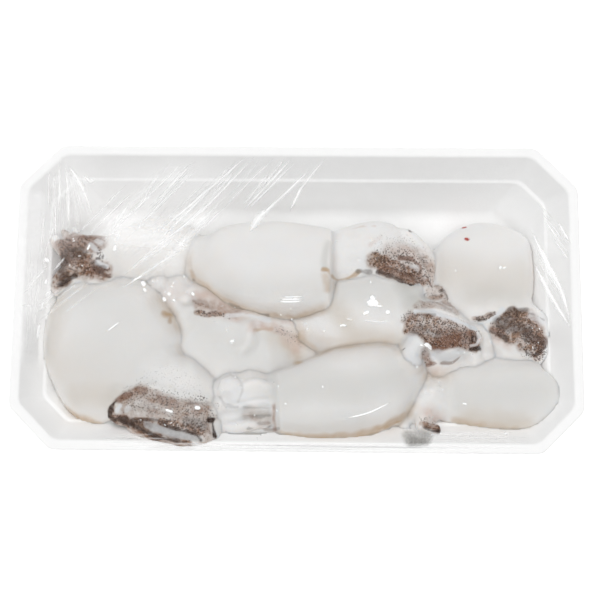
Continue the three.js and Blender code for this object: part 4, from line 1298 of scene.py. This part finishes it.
def film_side_rings():
    """The film down the tray's outer sides, gathered in pleats and pulled out at the ends."""
    profile = catmull_rom(SIDE_PROFILE, np.linspace(0, 1, SIDE_STEPS + 1))
    count = len(tray_outline(0, FILM_STEPS))
    rng = np.random.default_rng(11)
    turn = np.arange(count) / count * 2 * math.pi
    pleats = sum(np.cos(turn * waves + rng.uniform(0, 2 * math.pi)) for waves in PLEAT_WAVES)
    pleats = np.abs(pleats) / len(PLEAT_WAVES)
    rings = []
    for inset, z, puff, depth in profile:
        xy = tray_outline(inset, FILM_STEPS)
        end = ease(np.clip((np.abs(xy[:, 0]) - PUFF_START) / (PUFF_FULL - PUFF_START), 0, 1))
        xy[:, 0] += np.sign(xy[:, 0]) * puff * end * (1 - (xy[:, 1] / RIM_WIDTH) ** 2)
        share = LONG_SIDE_PLEATS + (1 - LONG_SIDE_PLEATS) * end
        inward = depth * pleats * PLEAT_DEPTH * share
        xy *= 1 - (inward / np.linalg.norm(xy, axis=1))[:, None]
        rings.append(np.column_stack([xy, np.full(len(xy), max(z, FILM_UNDER))]))
    return rings


def make_film(heights):
    """The film as one closed skin: over the tray, down its sides and under it."""
    rim_edge = tray_outline(RIM_BAND, FILM_STEPS)
    flat = [rim_edge * r / FILM_RINGS for r in range(1, FILM_RINGS + 1)]
    flat += [tray_outline(inset, FILM_STEPS) for inset in RIM_INSETS]
    top = [np.column_stack([xy, sample(heights, xy)]) for xy in flat]
    sides = film_side_rings()
    foot = sides[-1]
    under_tray = [foot * [1 - r / HEM_RINGS, 1 - r / HEM_RINGS, 1] for r in range(1, HEM_RINGS)]
    rings = [ring[::-1] for ring in top + sides + under_tray]
    middle = [0, 0, sample(heights, [[0, 0]])[0]]
    film = ring_mesh("stretch_film", rings, middle, [0, 0, foot[0][2]])
    points = vertex_positions(film)
    haze_and_sheen = np.max([stroke_level(points, *stroke, 0, 1) for stroke in HAZE_AND_SHEEN], axis=0)
    set_attribute(film, "haze_and_sheen", np.where(points[:, 2] > RIM_Z / 2, haze_and_sheen, SIDE_HAZE))
    film.data.materials.append(film_material())
    film.visible_shadow = False
    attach(film, "root")
    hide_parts("film_wrap")


# ------------------------------------------------------------ crease and highlight strips

STRIP_STEPS = 24
STRIP_RISE = 0.12
STRIP_FOOT = 0.02  # height of a strip's edges over the film
STRIP_TAPER = 4  # a strip is at its full width after 1 / 4 of its length
FLICKER = (0.6, 1.0)  # strength along a strip
FLICKER_COUNT = 9
SHORTEST_CREASE = 0.45  # share of the way across its bundle
CREASE_WIDEN = 1.8  # strips fade towards their edges, so they are wider than they look
GLINT_WIDEN = 1.25
BUNDLE_BEND = 0.6
BUNDLE_WIDTHS = (0.6, 1.3)  # times the bundle's own width
BUNDLE_STRENGTHS = (0.5, 1.3)


def bundle_lines(rng):
    """Creases of every bundle, each on its own random part of the way across it."""
    for count, width, strength, first, last in BUNDLES:
        first, last = np.array(first, float), np.array(last, float)
        for _ in range(count):
            path = first + (last - first) * rng.uniform(0, 1)
            begin = rng.uniform(0, 1 - SHORTEST_CREASE)
            end = rng.uniform(begin + SHORTEST_CREASE, 1)
            path = np.array([path[0] + (path[1] - path[0]) * s for s in (begin, (begin + end) / 2, end)])
            path[1] += rng.uniform(-BUNDLE_BEND, BUNDLE_BEND, 2)
            wide = width * CREASE_WIDEN * rng.uniform(*BUNDLE_WIDTHS)
            yield wide, strength * rng.uniform(*BUNDLE_STRENGTHS), path


def sparkle_lines(rng):
    for count, low, high in SPARKLES:
        for _ in range(count):
            middle = rng.uniform(low, high)
            reach = rng.normal(size=2)
            reach *= rng.uniform(*SPARKLE_LENGTH) / 2 / np.linalg.norm(reach)
            path = [middle - reach, middle, middle + reach]
            yield rng.uniform(*SPARKLE_WIDTH), rng.uniform(*SPARKLE_STRENGTH), path


def crease_and_highlight_lines():
    """All the film's folds and painted highlights (width, strength, path), the bundles and sparkles
    spread out at random.
    """
    rng = np.random.default_rng(21)
    lines = [(width * CREASE_WIDEN, strength, path) for width, strength, path in CREASES_AND_REFLECTIONS]
    lines += [(width * GLINT_WIDEN, strength, path) for width, strength, path in GLINTS]
    lines += bundle_lines(rng)
    lines += sparkle_lines(rng)
    return lines


def flap_lines():
    count, width, strength, first, last = FLAP
    return [(width, strength, path) for path in np.linspace(first, last, count)]


def make_creases_and_highlights(heights):
    """Fine folds standing up from the film and painted highlights on it, as strips that taper at both
    ends.
    """
    points, faces, levels, smears = [], [], [], []
    rng = np.random.default_rng(31)
    t = np.linspace(0, 1, STRIP_STEPS)
    taper = np.minimum(1, STRIP_TAPER * np.minimum(t, 1 - t))
    creases_and_highlights = crease_and_highlight_lines()
    for number, (width, strength, path) in enumerate(creases_and_highlights + flap_lines()):
        xy = catmull_rom(path, t)
        along = np.gradient(xy, axis=0)
        along /= np.linalg.norm(along, axis=1)[:, None]
        across = np.stack([-along[:, 1], along[:, 0]], 1)
        flicker = np.interp(t, np.linspace(0, 1, FLICKER_COUNT), rng.uniform(*FLICKER, FLICKER_COUNT))
        start = len(points)
        for side, rise in ((-0.5, STRIP_FOOT), (0, STRIP_RISE), (0.5, STRIP_FOOT)):
            edge = xy + across * side * width * taper[:, None]
            points.extend(np.column_stack([edge, sample(heights, edge) + rise]))
            levels.extend(strength * flicker * taper if side == 0 else np.zeros(STRIP_STEPS))
            smears.extend([float(number >= len(creases_and_highlights))] * STRIP_STEPS)
        for row in (0, 1):
            for s in range(STRIP_STEPS - 1):
                a = start + row * STRIP_STEPS + s
                faces.append((a, a + 1, a + 1 + STRIP_STEPS, a + STRIP_STEPS))
    obj = mesh_object("film_creases_and_highlights", points, faces)
    set_attribute(obj, "crease_and_highlight", levels)
    set_attribute(obj, "smear", smears)
    obj.data.materials.append(crease_and_highlight_material())
    obj.visible_shadow = False
    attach(obj, "root")


# --------------------------------------------------------------------- build

JUICE_BLEND = 5.5
JUICE_REACH = 2.7
FOAM_SKIN = 1.0  # nothing wet lies deeper than this under the tray's upper face
WALL_BLEND = 1.8
POOL_REACH = 6  # lattice steps: gaps narrower than twice this are filled
POOL_SINK = 2.4
POOL_SMOOTHING = 20
OVERLAP = 0.5
STEP_DOWN = 0.015  # one squid's juice lies this much under that of the squid before it
STAIN_REACH = 1.4  # seams are tan over this distance
SEAM_TAN = 0.1
SEAM_SHARE = 0.65  # of the tan near a seam shows in the seam itself
BASE_TAN = 0.12
FILL_START = 0.4  # juice shows its tan from this depth over the body
FILL_REACH = 1.2
HEAD_REACH = 2.5  # colours of the head end this far from it


def fill_gaps(heights):
    """Heights seen from above with the narrow gaps between the squid filled up level."""
    filled = heights
    for pick in (np.maximum, np.minimum):
        for step in range(POOL_REACH):
            beside = [(1, 0), (-1, 0), (0, 1), (0, -1)]
            if step % 2:
                beside += [(1, 1), (-1, 1), (1, -1), (-1, -1)]
            filled = pick.reduce([filled, *(np.roll(filled, shift, (0, 1)) for shift in beside)])
    for _ in range(POOL_SMOOTHING):
        filled[1:-1, 1:-1] = neighbours_mean(filled)
    return filled


def two_nearest(fields):
    """The field of the nearest of several bodies everywhere, and that of the second nearest."""
    nearest = fields[0].copy()
    second = empty_field()
    for field in fields[1:]:
        second = np.minimum(second, np.maximum(nearest, field))
        nearest = np.minimum(nearest, field)
    return nearest, second


def squid_bodies(tray_field, in_foam):
    """Every squid's field, pressed in by the squid above it and by the tray."""
    swell = lattice_noise(SWELL_SIZE, 3)
    lumps = lattice_noise(LUMP_SIZE, 5)
    bodies = {}
    heads = {}
    for name, spec in SQUID.items():
        field, heads[name] = squid_fields(spec, swell, lumps)
        field = smooth_max(field, LATTICE_Z - ROOF_Z, ROOF_BLEND)
        for upper in bodies.values():
            near = (field < BAND) & (upper < BAND)
            field[near] = smooth_max(field[near], PRESS_GAP - upper[near], PRESS_BLEND)
        bodies[name] = np.maximum(smooth_max(field, PRESS_GAP - tray_field, PRESS_BLEND), in_foam)
    return bodies, heads


def soaked_bodies(bodies, tray_field, in_foam):
    """The squid with the juice that fills the grooves between them, which overlaps halfway."""
    squid, second = two_nearest(list(bodies.values()))
    pool = -under(fill_gaps(tops(squid)) - POOL_SINK)
    juice = smooth_min(squid, second, JUICE_BLEND)
    juice = smooth_min(juice, pool, JUICE_BLEND / 2)
    juice = np.minimum(juice, smooth_min(squid, tray_field, WALL_BLEND))
    juice = np.maximum(juice, np.maximum(PRESS_GAP - tray_field, in_foam))
    soaked = {}
    for rank, (name, field) in enumerate(bodies.items()):
        others = np.where(field > squid, squid, second)
        share = np.maximum((field - others) / 2 - OVERLAP, field - JUICE_REACH)
        soaked[name] = np.minimum(field, np.maximum(juice + rank * STEP_DOWN, share))
    return soaked


def stain_level(points, to_body, to_others):
    """How tan the juice is: by TAN_JUICE where it is deep, and a little in every seam."""
    seam = np.clip(1 - (to_others - PRESS_GAP) / STAIN_REACH, 0, 1)
    fill = np.clip((to_body - FILL_START) / FILL_REACH, 0, 1)
    tan = np.full(len(points), BASE_TAN)
    for strength, half_width, path in TAN_JUICE:
        inward = np.clip(1 - path_distance(points, path) / half_width, 0, 1)
        tan = np.maximum(tan, strength * inward)
    return np.maximum(tan * fill, (SEAM_SHARE * tan + SEAM_TAN) * seam)


def make_squid(name, soaked, body, head, tray_field, waver, material):
    """One squid with its share of the juice, and its strokes of colour as attributes."""
    obj = mesh_from_field("flesh_" + name, soaked[name])
    points = vertex_positions(obj)
    others = [field for other, field in soaked.items() if other != name] + [tray_field]
    to_others = np.min([sample(field, points) for field in others], axis=0)
    set_attribute(obj, "stain", stain_level(points, sample(body, points), to_others))
    on_head = np.clip(HEAD_REACH - sample(head, points), 0, 1)
    wobble = sample(waver, points)
    for colour in COLOURS:
        level = np.zeros(len(points))
        edge = 1 if colour in TONES else STROKE_EDGE
        for kind, strength, half_width, path in PAINT[name]:
            if kind == colour:
                stroke = stroke_level(points, strength, half_width, path, wobble, edge)
                level = np.maximum(level, stroke)
        set_attribute(obj, colour, level if colour in ANYWHERE else level * on_head)
    obj.data.materials.append(material)
    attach(obj, "root")
    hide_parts(name)


tray_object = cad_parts["foam_tray"]
tray_triangles = [tuple(p.vertices) for p in tray_object.data.polygons]
tray_field = empty_field()
add_solid(tray_field, level_set(vertex_positions(tray_object), triangles=tray_triangles), NO_BLEND)
in_foam = under(tops(tray_field) - FOAM_SKIN)  # above 0 where no squid or juice may be
bodies, heads = squid_bodies(tray_field, in_foam)
soaked = soaked_bodies(bodies, tray_field, in_foam)
waver = WAVER * lattice_noise(WAVER_SIZE, 8)
flesh = flesh_material()
for name in SQUID:
    make_squid(name, soaked, bodies[name], heads[name], tray_field, waver, flesh)

make_tray()
film_heights = stretch_film(np.min(list(soaked.values()), axis=0), tray_field)
make_film(film_heights)
make_creases_and_highlights(film_heights)

# --------------------------------------------------------------------- stage

FLOOR_HALF = 20000  # mm, far enough that its edge is out of sight
FLOOR_GLOW = 0.5
SKY_AXIS = (-0.05, 0.09, 1.0)
SKY_PEAK = 1.545
# Brightness of the sky as (cosine of the angle from its axis, share of the peak).
SKY_RING = [(0.0, 0.08), (0.5, 0.30), (0.8, 0.91), (0.9, 1.0), (1.0, 1.0)]
SOFTBOX_PLACE = (-0.3, -0.5, 0.8)
SOFTBOX_SIZE = (0.1, 0.06)
SOFTBOX_ENERGY = 0.1
ELEVATION = 81.0
YAW = 6.0
ROLL = -5.5
DISTANCE = 0.520
LENS = 65.68
SHIFT = (0.0058, -0.0067)


def make_floor():
    corners = [(x * FLOOR_HALF, y * FLOOR_HALF, 0) for x, y in ((-1, -1), (1, -1), (1, 1), (-1, 1))]
    floor = mesh_object("floor", corners, [(0, 1, 2, 3)])
    s = Shading("bright_floor")
    s.settings({"Base Color": WHITE, "Emission Color": WHITE, "Emission Strength": FLOOR_GLOW})
    floor.data.materials.append(s.material)


def make_sky():
    """White surroundings, brightest overhead and fading towards the horizon."""
    world = bpy.data.worlds.new("studio")
    bpy.context.scene.world = world
    world.use_nodes = True
    nodes, links = world.node_tree.nodes, world.node_tree.links
    direction = nodes.new("ShaderNodeTexCoord").outputs["Generated"]
    toward = nodes.new("ShaderNodeVectorMath")
    toward.operation = "DOT_PRODUCT"
    toward.inputs[1].default_value = Vector(SKY_AXIS).normalized()
    links.new(direction, toward.inputs[0])
    ramp = nodes.new("ShaderNodeValToRGB")
    stops = ramp.color_ramp.elements
    while len(stops) < len(SKY_RING):
        stops.new(0.5)
    for stop, (cosine, share) in zip(stops, SKY_RING):
        stop.position = cosine
        stop.color = (share, share, share, 1)
    links.new(toward.outputs["Value"], ramp.inputs["Fac"])
    links.new(ramp.outputs["Color"], nodes["Background"].inputs["Color"])
    nodes["Background"].inputs["Strength"].default_value = SKY_PEAK


def make_softbox():
    light = bpy.data.lights.new("softbox", "AREA")
    light.shape = "RECTANGLE"
    light.size, light.size_y = SOFTBOX_SIZE
    light.energy = SOFTBOX_ENERGY
    obj = bpy.data.objects.new("softbox", light)
    obj.location = SOFTBOX_PLACE
    obj.rotation_mode = "QUATERNION"
    obj.rotation_quaternion = (-Vector(SOFTBOX_PLACE)).to_track_quat("-Z", "Y")
    bpy.context.collection.objects.link(obj)


def make_camera():
    """A camera that looks at the middle of the rim's plane, as the photo's did."""
    elevation, yaw, roll = (math.radians(v) for v in (ELEVATION, YAW, ROLL))
    level = math.cos(elevation)
    back = Vector((math.sin(yaw) * level, -math.cos(yaw) * level, math.sin(elevation)))
    camera = bpy.data.cameras.new("camera")
    camera.sensor_width = 36.0
    camera.lens = LENS
    camera.shift_x, camera.shift_y = SHIFT
    obj = bpy.data.objects.new("camera", camera)
    bpy.context.collection.objects.link(obj)
    right = (-back).cross(Vector((0, 0, 1))).normalized()
    up = right.cross(-back)
    turned_right = math.cos(roll) * right + math.sin(roll) * up
    turned_up = -math.sin(roll) * right + math.cos(roll) * up
    axes = Matrix((turned_right, turned_up, back)).transposed()
    place = Vector((0, 0, RIM_Z * MM)) + back * DISTANCE
    obj.matrix_world = Matrix.Translation(place) @ axes.to_4x4()
    bpy.context.scene.camera = obj


make_floor()
make_sky()
make_softbox()
make_camera()
bpy.context.scene.view_settings.view_transform = "Standard"
